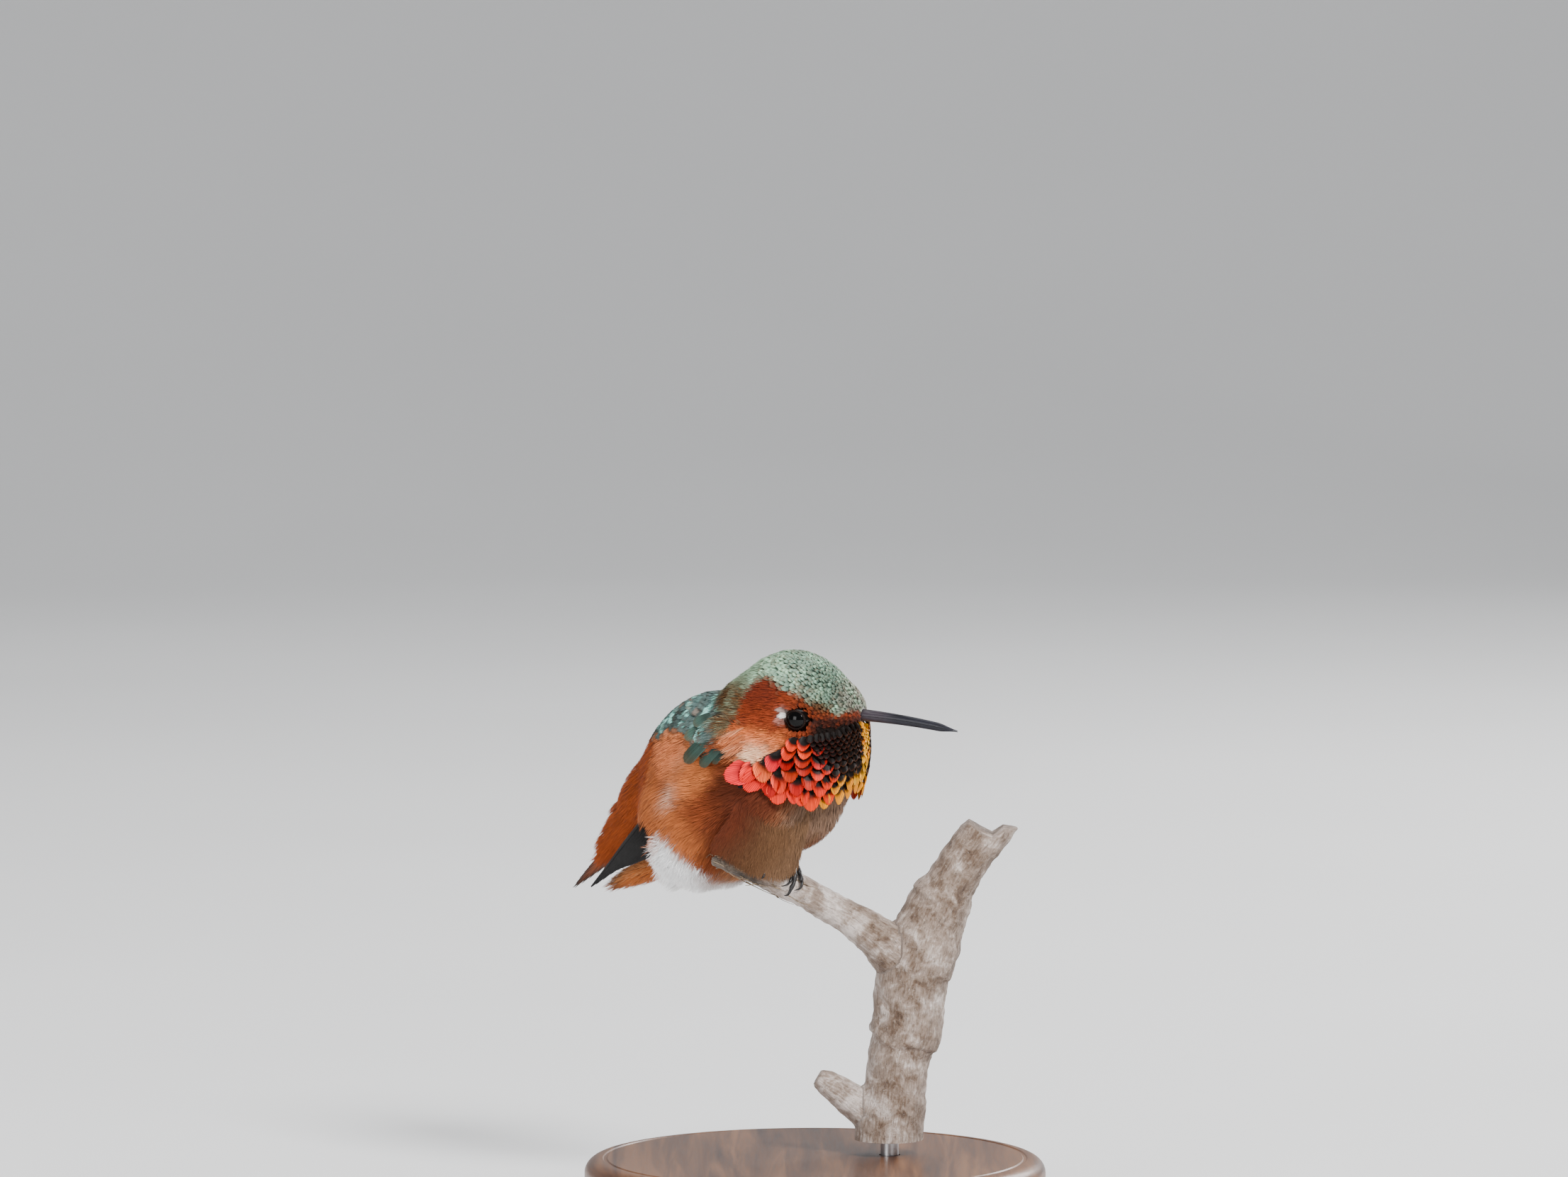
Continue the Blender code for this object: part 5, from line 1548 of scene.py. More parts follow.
def feather(path, flat, inner, outer, tone, tip, edge, columns=9, camber=0.12, dark_from=0.72):
    """One flight feather along a path: its vane, cambered, with a shaft raised along it."""
    n = len(path)
    ahead = unit(np.gradient(path, axis=0))
    side = unit(np.cross(flat, ahead))
    up = np.cross(ahead, side)
    t = np.linspace(0, 1, n)[:, None]
    q = np.linspace(-1, 1, columns)[None, :]
    reach = np.where(q < 0, inner[:, None], outer[:, None]) * q
    sag = camber * np.maximum(inner + outer, 1e-3)[:, None] * q**2
    points = path[:, None] + side[:, None] * column(reach) - up[:, None] * column(sag)
    dark = ease(t + 0.06 * q**2, dark_from, dark_from + 0.12)
    colour = lerp(np.broadcast_to(tone, (n, columns, 3)), tip, column(dark))
    colour = lerp(colour, edge, column(ease(np.abs(q), 0.8, 1.0) * 0.55))
    strand = np.stack(np.broadcast_arrays(t, q * 0.5 + 0.5, 0.5), -1)
    size, turn = 0.13 * (1 - 0.8 * t), circle(SHAFT_SIDES)
    shaft = path[:, None] + side[:, None] * column(size * np.cos(turn))
    shaft = shaft + up[:, None] * column(size * np.sin(turn) + 0.03)
    own = np.arange(n - 1)[:, None] * SHAFT_SIDES + np.arange(SHAFT_SIDES)
    beside = np.arange(n - 1)[:, None] * SHAFT_SIDES + (np.arange(SHAFT_SIDES) + 1) % SHAFT_SIDES
    tubes = np.stack([own, own + SHAFT_SIDES, beside + SHAFT_SIDES, beside], -1).reshape(-1, 4)
    strands = np.zeros(shaft.shape)
    strands[..., 0] = t
    strands[..., 1] = 0.5
    return (
        np.concatenate([points.reshape(-1, 3), shaft.reshape(-1, 3)]),
        np.concatenate([grid(n, columns), n * columns + tubes]),
        np.concatenate([colour.reshape(-1, 3), np.broadcast_to(tone * 0.45, (n * SHAFT_SIDES, 3))]),
        np.concatenate([strand.reshape(-1, 3), strands.reshape(-1, 3)]),
    )


def add_feathers(name, made, finish, replaces):
    """One piece from feathers, each with its own strip of the unwrap."""
    points, faces, colours, strands, patch = [], [], [], [], []
    count = 0
    for number, (spots, quads, tones, strand) in enumerate(made):
        points.append(spots)
        faces.append(quads + count)
        colours.append(tones)
        strands.append(strand)
        across = (number + 0.1 + 0.8 * strand[:, 1]) / len(made)
        patch.append(np.stack([across, 0.02 + 0.96 * strand[:, 0]], -1))
        count += len(spots)
    joined = (np.concatenate(v) for v in (points, faces, colours, strands, patch))
    points, faces, colours, strands, patch = joined
    return add_piece(name, points, [faces], finish, colours, strands, patch, replaces)


def smooth_line(points, share):
    """Places on a smooth line through points, by their shares of it."""
    points = np.array(points)
    spot = np.clip(share, 0, 1) * (len(points) - 1)
    i = np.minimum(spot.astype(int), len(points) - 2)
    near = (points[np.clip(i + k, 0, len(points) - 1)] for k in (-1, 0, 1, 2))
    return through(*near, column(spot - i))


def make_primaries():
    dusk, edge = srgb(0.05, 0.035, 0.03), srgb(0.15, 0.10, 0.08)
    run = np.linspace(0, 1, 34)
    half = 1.6 * (1 - 0.35 * run) * np.sqrt(np.clip(1 - ease(run, 0.66, 1.02) ** 1.5, 0.003, 1)) + 0.05
    for word, side in SIDES.items():
        made = []
        for n in range(9):
            path = smooth_line(PRIMARY_LINE, np.linspace(0.02, 1.0 - 0.042 * n, len(run))) * (1, side, 1)
            path[:, 2] += 1.1 * ease(run, 0.05, 0.4) * (1 - ease(run, 0.6, 1.0))
            path[:, 2] -= 0.6 * n * (0.4 + 0.6 * ease(run, 0.0, 0.4)) * (1 - 0.35 * ease(run, 0.6, 1.0))
            path += np.array([0.0, side, 0.15]) * (0.10 * n - 0.3)
            tone = dusk * (0.85 + 0.3 * CHANCE.random())
            flat = np.array([0.12, side, 0.3])
            spots, *rest = feather(path, flat, half * 0.8, half, tone, dusk * 0.9, edge)
            made.append((into(TRUNK, spots), *rest))
        add_feathers(f"primaries_{word}_vanes", made, FLIGHT, (f"primaries_{word}",))


def facing_out(line, side):
    """Normals of lines along the wing, away from the trunk."""
    outwards = turned(TRUNK, (0.0, side, 0.12))
    ahead = unit(np.gradient(line, axis=1))
    return unit(outwards - ahead * (ahead @ outwards)[..., None])


def make_wing_coverts():
    """Coverts of the folded wing that show between the mantle, the neck and the flank."""
    t = np.linspace(0, 1, 7)[:, None]
    widths = np.array([row[3] for row in WING_COVERTS])
    # the lightness paints shade on the covert under the others and glints on the brightest
    colours = COLOURS["covert"] * column(np.array([row[4] for row in WING_COVERTS]))
    for word, side in SIDES.items():
        line = []
        for row in WING_COVERTS:
            a, b, c = (np.array(p) * (1, side, 1) for p in row[:3])
            b = 2 * b - (a + c) / 2
            line.append(into(TRUNK, a * (1 - t) ** 2 + 2 * b * t * (1 - t) + c * t**2))
        line = np.array(line)
        lengths = np.linalg.norm(np.diff(line, axis=1), axis=2).sum(1)
        vanes(
            f"wing_coverts_{word}", line, facing_out(line, side), lengths, widths, colours, BRONZE, GREEN,
            (f"wing_{word}",), pleats=24, rows=14, depth=0.3, lift=0.05, cup=0.45, ridge=0.05, cut=0.03,
            root_shade=0.35, groove=0.35, blunt=0.55 * widths / lengths, base=0.6,
            tip=COLOURS["nape"] * 1.3, tip_share=0.4, stagger=0.1, scatter=0.05, vary=0.2,
        )


def make_ruff():
    """Loose feathers of the neck's side, which lie over the bend of the wing."""
    place, reach = np.meshgrid(np.linspace(-1.4, 4.0, 9), np.linspace(0, 1, 3))
    t = np.linspace(0, 1, 7)[None, :]
    for word, side in SIDES.items():
        z = place.ravel() + 0.25 * CHANCE.normal(size=place.size)
        x = 15.6 - 1.1 * reach.ravel() - 0.16 * (z - 2.0) ** 2 + 0.3 * CHANCE.normal(size=z.size)
        run = 2.6 + 0.9 * CHANCE.random(z.size)
        out = side * (9.6 + 3.7 * t**0.8)
        back, drop = x[:, None] - run[:, None] * t, z[:, None] - 0.5 * t
        line = into(TRUNK, np.stack(np.broadcast_arrays(back, out, drop), -1))
        pale = column(0.05 + 0.5 * CHANCE.random(len(line)) ** 2)
        high = column(ease(z, 1.6, 2.8))
        colours = lerp(COLOURS["cheek_light"] * 0.6, COLOURS["nape"] * 1.3, high)
        colours = lerp(colours, COLOURS["cheek_pale"], pale * (1 - 0.8 * high))
        barbs(
            f"ruff_coat_{word}", line, facing_out(line, side), run, np.full(len(line), 1.7), colours,
            SOFT, RUFOUS, strips=12, segments=5, thin=0.055, depth=0.3, lift=0.3, fan=0.5, root_shade=0.6,
            vary=0.14, loose=0.09,
        )


def tail_place():
    turn = Matrix.Rotation(math.radians(-TAIL_TURN), 4, "Z")
    roll = Matrix.Rotation(math.radians(-TAIL_ROLL), 4, "X")
    lift = Matrix.Rotation(math.radians(TAIL_LIFT), 4, "Y")
    return TRUNK @ Matrix.Translation(TAIL_ROOT) @ lift @ turn @ roll


def make_tail():
    rust, dusk, edge = srgb(0.58, 0.30, 0.15), srgb(0.12, 0.085, 0.07), srgb(0.62, 0.38, 0.24)
    made = []
    for place in (-5, 5, -4, 4, -3, 3, -2, 2, -1, 1):
        rank, side = abs(place), 1.0 if place > 0 else -1.0
        length = TAIL_LENGTH * (1.15 - 0.06 * (rank - 1) ** 1.1)
        splay = math.radians(side * TAIL_SPLAY * (rank - 0.5))
        t = np.linspace(0, 1, 40)
        run = t * length
        sideways = side * (0.12 if side > 0 else 0.28) * (rank - 0.5) + run * math.sin(splay)
        path = np.stack([-run * math.cos(splay), sideways, np.full(len(t), -0.16 * (rank - 1))], -1)
        wide = (1.5 - 0.1 * rank) * (0.5 + 0.5 * ease(t, 0.0, 0.5))
        half = wide * (1 - 0.35 * t) * (1 - ease(t, 0.74, 1.01)) ** 0.6 + 0.03
        inner, outer = (half * 0.8, half * 0.75) if side > 0 else (half * 1.1, half * 0.8)
        tone = rust * (0.9 + 0.2 * CHANCE.random())
        flat = np.array([0.0, 0.0, 1.0])
        spots, *rest = feather(path, flat, inner, outer, tone, dusk, edge, camber=0.06, dark_from=0.86)
        made.append((into(tail_place(), spots), *rest))
    add_feathers("tail_feathers", made, FLIGHT, ("tail",))


def make_tail_coverts(envelope):
    """The rump's last feathers, which run straight on over the tail."""
    roots = envelope.spread(lambda p: np.where(out_of(TRUNK, p)[:, 0] < -17.0, 0.72, np.nan), 9.0)
    lengths = 3.4 + 1.8 * CHANCE.random(len(roots))
    line, normals = lay(envelope, roots, lengths, flow, 5, 0.05)
    line, normals = stand_straight(line, normals, turned(tail_place(), (-1, 0, 0)), lengths)
    colours = markings(line[:, 0])
    barbs(
        "tail_covert_coat", line, normals, lengths, np.full(len(roots), 1.8), colours, SOFT, RUFOUS,
        strips=10, segments=4, thin=0.09, depth=0.6, lift=0.12, fan=0.5, root_shade=0.5, vary=0.1,
        loose=0.03,
    )


def make_undertail():
    lift = Matrix.Rotation(math.radians(UNDERTAIL_LIFT), 4, "Y")
    where = TRUNK @ Matrix.Translation(UNDERTAIL_ROOT) @ lift
    back = turned(where, (-1, 0, 0))
    bm = bmesh.new()
    for sideways, length in ((1.5, 0.94), (-1.5, 1.0)):
        rings = []
        for share in np.arange(14) / 13:
            taper = 1 - 0.6 * ease((share - 0.7) / 0.32)
            ring = []
            for angle in circle(20):
                x = -share * length * UNDERTAIL_LENGTH * 0.93
                spot = (x, sideways + 2.2 * taper * math.cos(angle), 1.75 * taper * math.sin(angle) - 0.3)
                ring.append(Vector(into(where, np.array(spot))))
            rings.append(ring)
        rings_to_bmesh(rings, bm)
    surface = blended(bm, 0.5, 3)
    roots = surface.spread(lambda p: np.where(out_of(where, p)[:, 0] > -14.5, 0.7, np.nan), 8.0)
    lengths = 4.0 + 1.2 * CHANCE.random(len(roots)) + 1.0 * ease(out_of(where, roots)[:, 0], -9.0, -12.5)
    line, normals = lay(surface, roots, lengths, lambda p: np.broadcast_to(back, p.shape), 5, 0.05)
    line, normals = stand_straight(line, normals, back, lengths)
    local = out_of(where, line[:, 4])
    colours = lerp(srgb(0.93, 0.66, 0.44), srgb(0.74, 0.42, 0.21), column(ease(local[:, 2], 0.8, -0.8)))
    colours = lerp(colours, srgb(0.30, 0.19, 0.14), column(0.6 * ease(local[:, 0], -14.0, -17.5)))
    barbs(
        "undertail_coat", line, normals, lengths, np.full(len(roots), 2.0), colours, SOFT, RUFOUS,
        ("undertail_coverts",), strips=14, segments=4, thin=0.07, depth=0.5, lift=0.15, loose=0.05,
        root_shade=0.8, rounded=0.7,
    )
    points = surface.points - surface.normals * 0.25
    tone = np.broadcast_to(srgb(0.40, 0.22, 0.12), points.shape)
    spread = unwrap(surface.points)
    add_piece("undertail_skin", points, [surface.triangles], SKIN, tone, patch=spread)


# Feet


def branch(line, detail=4):
    """A smooth path and its radii through the points of a branch."""
    rows = np.array(line)
    path, radii = [], []
    last = len(rows) - 1
    for i in range(last):
        for j in range(detail + (i == last - 1)):
            t = j / detail
            near = (rows[min(max(k, 0), last), :3] for k in range(i - 1, i + 3))
            path.append(through(*near, t))
            radii.append(lerp(rows[i, 3], rows[i + 1, 3], ease(t)))
    return np.array(path), np.array(radii)


def tube(path, radii, sides, up, bm=None, ribs=None):
    """A closed tube along a path. ribs gives its swelling, by a share of it and angles round it."""
    ahead = unit(np.gradient(path, axis=0))
    side = unit(np.cross(np.asarray(up, float), ahead))
    top = np.cross(ahead, side)
    turn = circle(sides)
    rings = []
    for i, centre in enumerate(path):
        swell = 1.0 if ribs is None else ribs(i / (len(path) - 1), turn)
        spokes = np.outer(np.cos(turn), side[i]) + np.outer(np.sin(turn), top[i])
        rings.append([Vector(p) for p in centre + spokes * column(radii[i] * swell)])
    return rings_to_bmesh(rings, bm)


def twig_place(share):
    path, radii = branch(TWIG_LINE)
    spot = share * (len(path) - 1)
    i = int(spot)
    ahead = unit(path[i + 1] - path[i])
    return lerp(path[i], path[i + 1], spot - i), ahead, lerp(radii[i], radii[i + 1], spot - i)


def foot_axes(along):
    """Upwards and forwards, square to the twig."""
    rise = np.array([0, 0.25, 1.0])
    rise = unit(rise - along * (along @ rise))
    front = np.cross(along, rise)
    return rise, front if front[1] < 0 else -front


def make_feet():
    skin = horn_finish("foot scales", srgb(0.045, 0.04, 0.042), srgb(0.13, 0.11, 0.11), 0.5)
    claw = horn_finish("claw", srgb(0.03, 0.028, 0.028), srgb(0.10, 0.08, 0.075), 0.3)
    for word in SIDES:
        centre, along, radius = twig_place(FEET[word])
        rise, front = foot_axes(along)
        ring = radius + TOE_RADIUS + CLEARANCE
        back = FAR_FOOT_BACK * (word == "right")
        toes, claws = bmesh.new(), bmesh.new()

        def grip(spots, count, way):
            """A smooth line on the ring round the twig, through spots along it and degrees round it."""
            spots = smooth_line(spots, np.linspace(0, 1, count))
            angle = np.radians(spots[:, 1] - back)
            spoke = np.outer(np.cos(angle), rise) + np.outer(way * np.sin(angle), front)
            return centre + np.outer(spots[:, 0], along), spoke

        for i, (toe, nail, way) in enumerate(TOES):
            share = np.linspace(0, 1, 44)
            middle, spoke = grip(toe, 44, way)
            knuckle = 1 + 0.07 * np.abs(np.sin(share * 7.5 + 0.8 * i)) * (1 - share)
            joints = 1 + 0.13 * np.cos(share * 2 * np.pi * 3 + i)
            ends = np.where((share < 0.02) | (share > 0.98), 0.5, 1.0)
            radii = TOE_RADIUS * (1.4 - 0.5 * share) * joints * ends

            def scutes(at, turn):
                rings = 0.09 * (abs(math.sin(at * math.pi * 13)) ** 0.6 - 0.6)
                return 1 + rings + 0.07 * np.clip(np.sin(turn), 0, 1) * abs(math.sin(at * 40))

            tube(middle + spoke * column(ring * knuckle), radii, 14, along, toes, ribs=scutes)
            tip = np.linspace(0, 1, 16)
            middle, spoke = grip(nail, 16, way)
            hook = ring + 0.1 - 0.35 * tip**1.6 + 0.3 * np.sin(tip * np.pi)
            tube(middle + spoke * column(hook), 0.27 * (1 - tip) ** 0.7 + 0.02, 10, along, claws)
        thick = TOE_RADIUS * 1.5
        hip = centre + rise * (ring + TARSUS_LENGTH) - front * 1.6
        share = np.linspace(0, 1, 24)
        path = lerp(centre + rise * (ring - 0.15), hip, column(share))
        path = path + np.outer(0.5 * np.sin(share * np.pi), rise)
        tube(path, np.full(24, thick) * (1 + 0.12 * np.cos(share * 6.28)), 14, along, toes)
        add_mesh(f"foot_{word}", toes, skin, "horn", (f"leg_{word}",), 80)
        add_mesh(f"claws_{word}", claws, claw, "horn", (), 80)


# Perch and stand


def bark_finish():
    """Smooth weathered bark: soft brown and silver clouds, fine fibres along each branch."""
    made = Finish("weathered bark", Specular_IOR_Level=0.25, Sheen_Weight=0.15)
    along = made.attribute("branchwise", "Vector")
    fibres = made.node("ShaderNodeMapping", {}, {"Vector": along, "Scale": (1.0, 1.0, 0.16)})
    fibre = made.noise(fibres, 3.4, 7.0, 0.62, 0.3)
    fine = made.noise(along, 5.5, 6.0, 0.65)
    cloud = made.noise(along, 0.21, 5.0, 0.6, 0.4)
    patch = made.noise(along, 0.55, 5.0, 0.65, 0.8)
    across = made.node("ShaderNodeSeparateXYZ", {}, {0: made.place()})
    pale = made.mask(across, 14.0, 4.0)
    tone = cloud * 0.55 + patch * 0.35 + fibre * 0.25 + pale * 0.1 - 0.075
    base = made.ramp(
        tone,
        (0.34, srgb(0.24, 0.17, 0.13)),
        (0.44, srgb(0.42, 0.34, 0.28)),
        (0.54, srgb(0.60, 0.53, 0.48)),
        (0.66, srgb(0.84, 0.79, 0.76)),
    )
    speck = made.mask(made.noise(along, 2.6, 4.0, 0.7), 0.60, 0.70)
    base = made.mix(speck * 0.35, base, srgb(0.88, 0.84, 0.80))
    end = made.mask(across, -6.0, -11.0)
    dark = made.ramp(
        tone, (0.48, srgb(0.10, 0.07, 0.05)), (0.6, srgb(0.25, 0.20, 0.15)), (0.74, srgb(0.52, 0.46, 0.40))
    )
    base = made.mix(end * 0.95, base, dark)
    pit = made.mask(made.noise(fibres, 5.0, 3.0, 0.6), 0.40, 0.30)
    colour = made.tint(base, (0.86 + fine * 0.28) * (1.0 - pit * 0.45))
    height = fibre * 0.9 + fine * 0.7 + patch * 0.8 - pit * 0.5
    return made.done(Base_Color=colour, Roughness=0.72 + fine * 0.25, Normal=made.bump(height, 0.8, 0.3))


def branchwise(points):
    """Each point's place in its branch: across it twice, and along it."""
    nearest = np.full(len(points), np.inf)
    found = np.zeros((len(points), 3))
    for number, line in enumerate((STEM_LINE, TWIG_LINE, STUB_LINE)):
        path, radii = branch(line, 8)
        ahead = unit(np.gradient(path, axis=0))
        side = unit(np.cross(np.array([0.1, 1.0, 0.0]), ahead))
        run = np.concatenate([[0], np.cumsum(np.linalg.norm(np.diff(path, axis=0), axis=1))])
        gap = points[:, None] - path[None]
        reach = np.linalg.norm(gap, axis=2) / radii
        best = reach.argmin(1)
        rows = np.arange(len(points))
        gap, away = gap[rows, best], reach[rows, best]
        parts = [(gap * axis[best]).sum(1) for axis in (side, np.cross(ahead, side), ahead)]
        here = np.stack([parts[0], parts[1] + 40.0 * number, parts[2] + run[best]], -1)
        closer = away < nearest
        found[closer], nearest[closer] = here[closer], away[closer]
    return found


def make_perch():
    bark = bark_finish()
    bm = bmesh.new()
    for line in (STEM_LINE, TWIG_LINE, STUB_LINE):
        path, radii = branch(line)
        tube(path, radii, 24, (0.1, 1, 0), bm)
    surface = blended(bm, 0.42, 4)
    points = surface.points
    places = branchwise(points)
    stretched = places * np.array([1.0, 1.0, 0.3])
    rough = mottle(stretched, 0.55, 21) * 0.07 + mottle(places, 1.1, 22) * 0.1
    rough = rough + mottle(points, 3.4, 23) * 0.24
    knots = 0.0
    for at, height, wide in NODE_RINGS:
        gap = places[:, 2] - at + 0.8 * mottle(points, 4.0, 31)
        over, below = np.exp(-gap / (2.5 * wide)), np.exp(-((gap / (0.5 * wide)) ** 2))
        knots = knots + height * np.where(gap > 0, over, below)
    knots = knots * (places[:, 1] < 20.0) * (1 + 0.4 * mottle(points, 1.5, 32))
    keep = ease(points[:, 2], 13.5, 16.0) * 0.8 + 0.2
    points = points + surface.normals * column((rough + knots) * keep)
    mesh = bpy.data.meshes.new("perch_blend")
    mesh.from_pydata(points.tolist(), [], surface.quads.tolist())
    cut = bmesh.new()
    cut.from_mesh(mesh)
    bpy.data.meshes.remove(mesh)

    def slice_off(at, away):
        found = bmesh.ops.bisect_plane(
            cut, geom=cut.verts[:] + cut.edges[:] + cut.faces[:], dist=0.01, plane_co=at, plane_no=away,
            clear_outer=True,
        )
        rim = [e for e in found["geom_cut"] if isinstance(e, bmesh.types.BMEdge)]
        bmesh.ops.triangle_fill(cut, edges=rim, use_beauty=True, use_dissolve=False)

    slice_off(STEM_FOOT, (0, 0, -1))
    perch = add_mesh("perch_plain", cut, bark, None)
    rings = []
    for away, drop in ((-6.0, 0.8), (4.0, 0.0), (12.0, -0.6)):
        jagged = [Vector((x, away, z - drop)) for x, z in BREAK_EDGE]
        rings.append(jagged + [Vector((x, away, 80.0)) for x in (BREAK_EDGE[-1][0], BREAK_EDGE[0][0])])
    foot = np.array(STEM_FOOT)
    bore = foot + np.outer((-1.0, BORE_DEPTH), (0, 0, 1))
    tools = (
        add_mesh("break_guide", rings_to_bmesh(rings), bark, None, smooth=1),
        add_mesh("bore_guide", tube(bore, np.full(2, BORE), 40, (0, 1, 0)), bark, None),
    )
    for tool in tools:
        step = perch.modifiers.new(tool.name, "BOOLEAN")
        step.operation, step.object, step.solver = "DIFFERENCE", tool, "EXACT"
    baked = used_up(perch)
    for tool in tools:
        bpy.data.objects.remove(tool)
    baked.materials.clear()
    baked.materials.append(bark)
    corners = np.empty(len(baked.vertices) * 3)
    baked.vertices.foreach_get("co", corners)
    places = branchwise(corners.reshape(-1, 3) / MM)
    layer = baked.attributes.new("branchwise", "FLOAT_VECTOR", "POINT")
    layer.data.foreach_set("vector", places.astype(np.float32).ravel())
    declare(add_object("perch_bark", baked), ("perch",))


def make_frayed_end():
    """Curling bark fibres at the twig's broken end, in front of the bird."""
    made = Finish("dry fibre", Specular_IOR_Level=0.2)
    grain = made.noise(made.place(), 2.4, 4.0, 0.6)
    dry = made.ramp(grain, (0.3, srgb(0.22, 0.17, 0.13)), (0.7, srgb(0.66, 0.58, 0.48)))
    finish = made.done(Base_Color=dry, Roughness=0.8 + grain * 0.1, Normal=made.bump(grain, 0.4, 0.05))
    path, radii = branch(TWIG_LINE, 10)
    ahead = unit(np.gradient(path, axis=0))
    bm = bmesh.new()
    for _ in range(FRAYED_FIBRES):
        start = len(path) - 1 - int(abs(CHANCE.normal(0, 9)))
        start = max(start, len(path) - 26)
        turn = CHANCE.random() * 2 * np.pi
        across = unit(np.cross(ahead[start], np.array([0.0, 1.0, 0.1])))
        over = np.cross(across, ahead[start])
        spoke = across * math.cos(turn) + over * math.sin(turn)
        length = 1.6 + 4.2 * CHANCE.random() ** 1.5
        t = np.linspace(0, 1, 18)
        way = 0.5 if CHANCE.random() < 0.2 else -1.0
        curl = CHANCE.normal(0, 0.8, 2)
        line = path[start] + spoke * (radii[start] + 0.05)
        line = line + np.outer(way * length * t, ahead[start])
        line = line + np.outer(0.5 * np.abs(curl[0]) * np.sin(t * 2.6), spoke)
        line = line + np.outer(0.7 * curl[1] * t * np.sin(t * 5.0), np.cross(spoke, ahead[start]))
        line = line - np.outer(0.5 * t**2, np.array([0.0, 0.0, 1.0]))
        tube(line, (0.05 + 0.09 * CHANCE.random()) * (1 - 0.75 * t) + 0.02, 5, (0.1, 0.3, 1), bm)
    add_mesh("frayed_fibres", bm, finish, "bark", (), 180)


def wood_finish():
    made = Finish("turned walnut", Coat_Weight=0.25, Coat_Roughness=0.2, Specular_IOR_Level=0.4)
    cloud = made.noise(made.place((1.0, 0.12, 1.0), (0.0, 0.1, 0.05)), 0.05, 3.0)
    rings = made.noise(made.place((1.0, 0.06, 1.0), (0.0, 0.1, 0.05)), 0.32, 4.0, 0.5, 0.9)
    pores = made.noise(made.place((1.0, 0.04, 1.0)), 2.6, 6.0, 0.7)
    grain = rings * 0.6 + pores * 0.25 + cloud * 0.2
    colour = made.ramp(
        grain,
        (0.38, srgb(0.22, 0.13, 0.09)),
        (0.52, srgb(0.36, 0.23, 0.15)),
        (0.68, srgb(0.50, 0.34, 0.22)),
    )
    return made.done(Base_Color=colour, Roughness=0.38 + pores * 0.2, Normal=made.bump(pores, 0.15, 0.06))


def steel_finish():
    made = Finish("brushed steel", Metallic=1.0)
    brush = made.noise(made.place((1.0, 1.0, 14.0)), 1.5, 6.0, 0.7)
    colour = made.ramp(brush, (0.3, srgb(0.66, 0.66, 0.67)), (0.7, srgb(0.82, 0.82, 0.83)))
    return made.done(Base_Color=colour, Roughness=0.24 + brush * 0.16, Normal=made.bump(brush, 0.1, 0.02))


def level_ring(centre, sides, radius, height):
    """A ring of points round an upright axis."""
    spokes = zip(np.cos(circle(sides)), np.sin(circle(sides)))
    return [Vector((centre[0] + radius * c, centre[1] + radius * s, height)) for c, s in spokes]


def make_stand():
    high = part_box("stand_base")[1]
    top, wide = high.z / MM, high.x / MM
    profile = [(wide - 1.2, 0.0), (wide - 0.4, 0.25), (wide, 1.0), (wide, 5.6)]
    for k in range(1, 9):
        turn = math.pi / 2 * k / 8
        profile.append((wide - 2.6 * (1 - math.cos(turn)), 5.6 + (top - 5.6) * math.sin(turn)))
    profile += [(wide - 3.0, top), (wide - 3.2, top - 0.18), (wide - 3.6, top - 0.18), (wide - 3.8, top)]
    low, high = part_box("stand_rod")
    centre = (low + high) / 2 / MM
    rings = [level_ring((0, 0), 160, *point) for point in profile]
    rings += [level_ring(centre, 160, ROD_HOLE, height) for height in (top, top - HOLE_DEPTH)]
    add_mesh("stand_plinth", rings_to_bmesh(rings), wood_finish(), "base_wood", ("stand_base",), 35)
    radius = (high.x - low.x) / 2 / MM
    base, end = low.z / MM, high.z / MM
    profile = ((radius - 0.3, base), (radius, base + 0.3), (radius, end - 0.3), (radius - 0.3, end))
    post = rings_to_bmesh([level_ring(centre, 64, *point) for point in profile])
    add_mesh("stand_post", post, steel_finish(), "rod_steel", ("stand_rod",), 35)


# Setting


LAMPS = (  # place in metres, size, power
    ("key", (0.48, -0.80, 0.75), 0.28, 19.0),
    ("fill", (-0.8, -1.0, 0.35), 0.6, 7.5),
    ("top", (0.1, 0.05, 1.1), 0.8, 8.0),
    ("rim", (0.6, 0.7, 0.5), 0.4, 8.0),
)
LAMPS_AIM = Vector((0.0, 0.0, 0.06))
FLOOR_HALF_WIDTH = 3.5


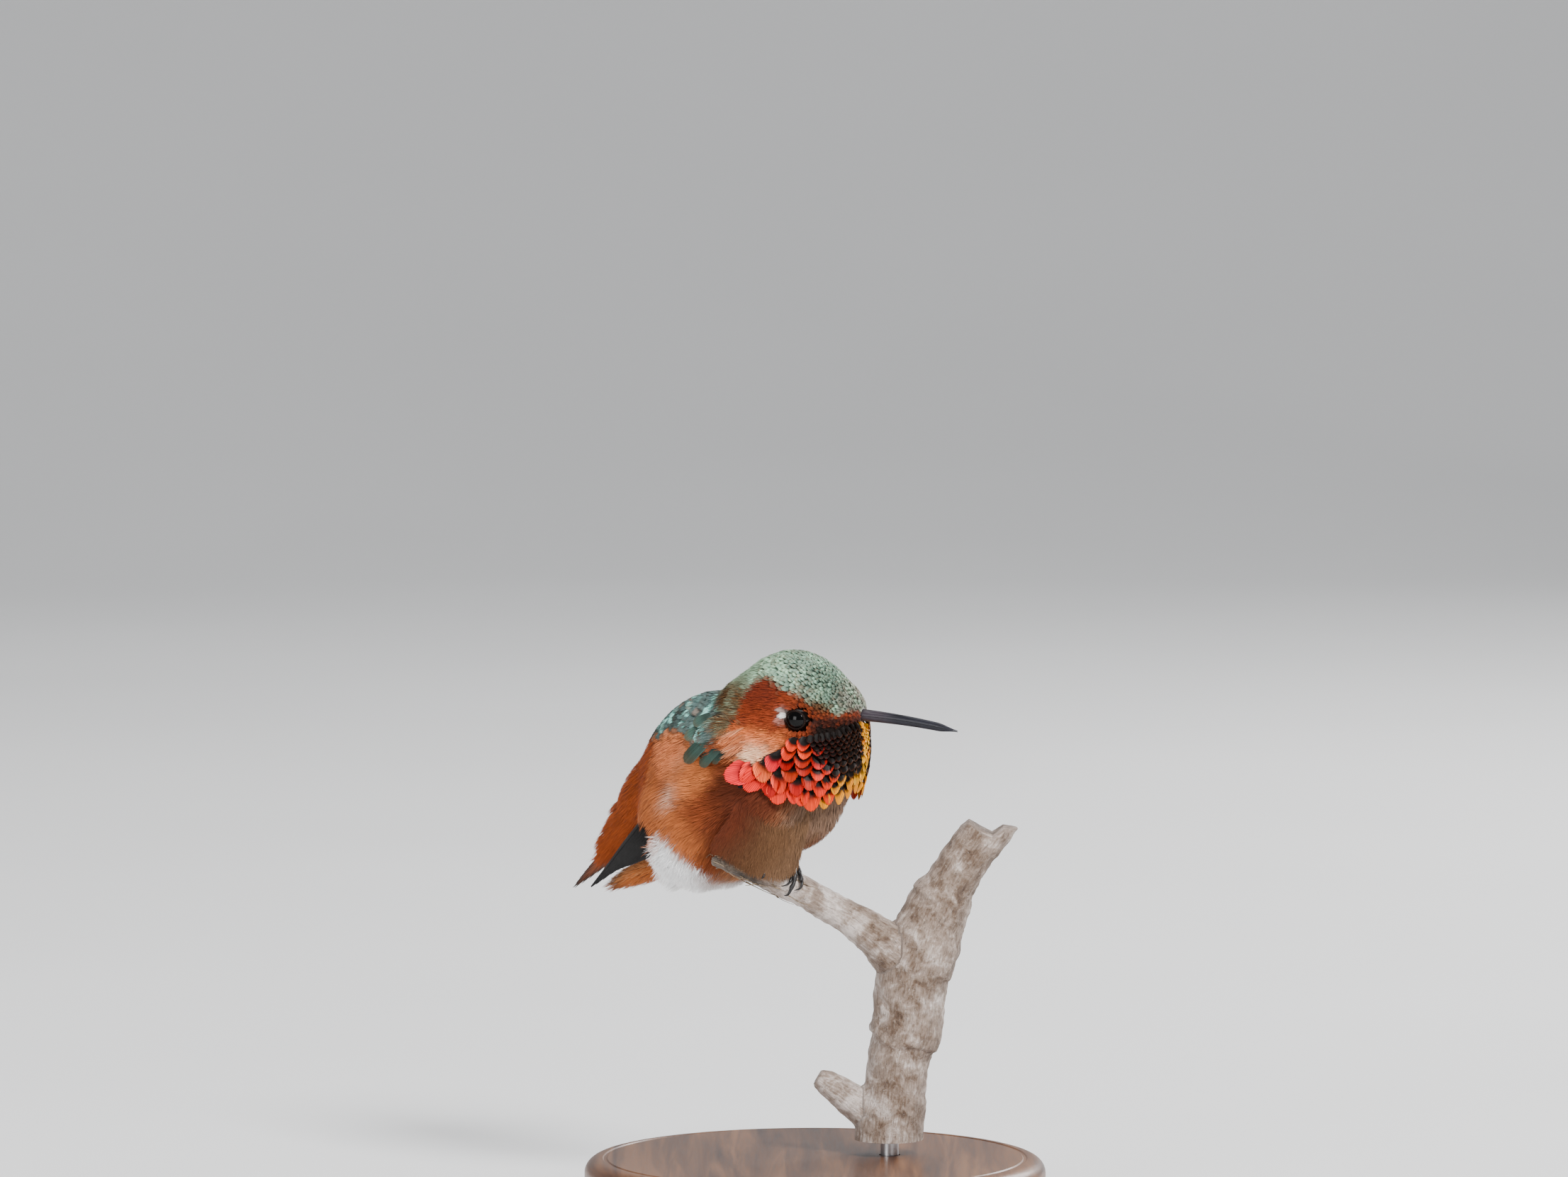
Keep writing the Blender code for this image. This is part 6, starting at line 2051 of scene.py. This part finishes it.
def make_setting():
    made = Finish("pale floor", Specular_IOR_Level=0.2)
    mist = made.noise(made.place(), 0.004, 2.0)
    shade = made.ramp(mist, (0.3, (0.80,) * 3), (0.7, (0.84,) * 3))
    finish = made.done(Base_Color=shade, Roughness=0.8 + mist * 0.1)
    rows = [(-2.6, 0.0), (1.2, 0.0)]
    rows += [(1.2 + 0.8 * math.sin(a), 0.8 * (1 - math.cos(a))) for a in np.linspace(0.1, math.pi / 2, 12)]
    rows.append((2.0, 3.2))
    mesh = bpy.data.meshes.new("studio_floor")
    corners = [(x, y, z) for x in (-FLOOR_HALF_WIDTH, FLOOR_HALF_WIDTH) for y, z in rows]
    count = len(rows)
    mesh.from_pydata(corners, [], [(i, i + count, i + count + 1, i + 1) for i in range(count - 1)])
    mesh.materials.append(finish)
    mesh.shade_smooth()
    add_object("studio_floor", mesh)
    for name, place, size, power in LAMPS:
        data = bpy.data.lights.new(name, "AREA")
        data.size, data.energy = size, power
        lamp = add_object(name, data)
        lamp.location = place
        lamp.rotation_euler = (LAMPS_AIM - Vector(place)).to_track_quat("-Z", "Y").to_euler()
    world = bpy.data.worlds.new("studio")
    world.use_nodes = True
    background = world.node_tree.nodes["Background"]
    background.inputs[0].default_value = (0.92, 0.95, 1.0, 1.0)
    background.inputs[1].default_value = 0.28
    bpy.context.scene.world = world


def make_camera():
    data = bpy.data.cameras.new("camera")
    data.sensor_width, data.lens = SENSOR, LENS
    camera = add_object("camera", data)
    fall = math.radians(CAMERA_FALL)
    ahead = Vector((0.0, math.cos(fall), -math.sin(fall)))
    camera.location = Vector(CAMERA_AIM) * MM - ahead * (LENS / SENSOR * FRAME_WIDTH * MM)
    camera.rotation_euler = ahead.to_track_quat("-Z", "Y").to_euler()
    bpy.context.scene.camera = camera


ENVELOPE = make_envelope()
make_skin(ENVELOPE)
make_coat(ENVELOPE)
make_skirt(ENVELOPE)
make_gorget()
make_eyes()
make_bill()
make_wing_coverts()
make_ruff()
make_primaries()
make_tail()
make_tail_coverts(ENVELOPE)
make_undertail()
make_feet()
make_perch()
make_frayed_end()
make_stand()
make_setting()
make_camera()
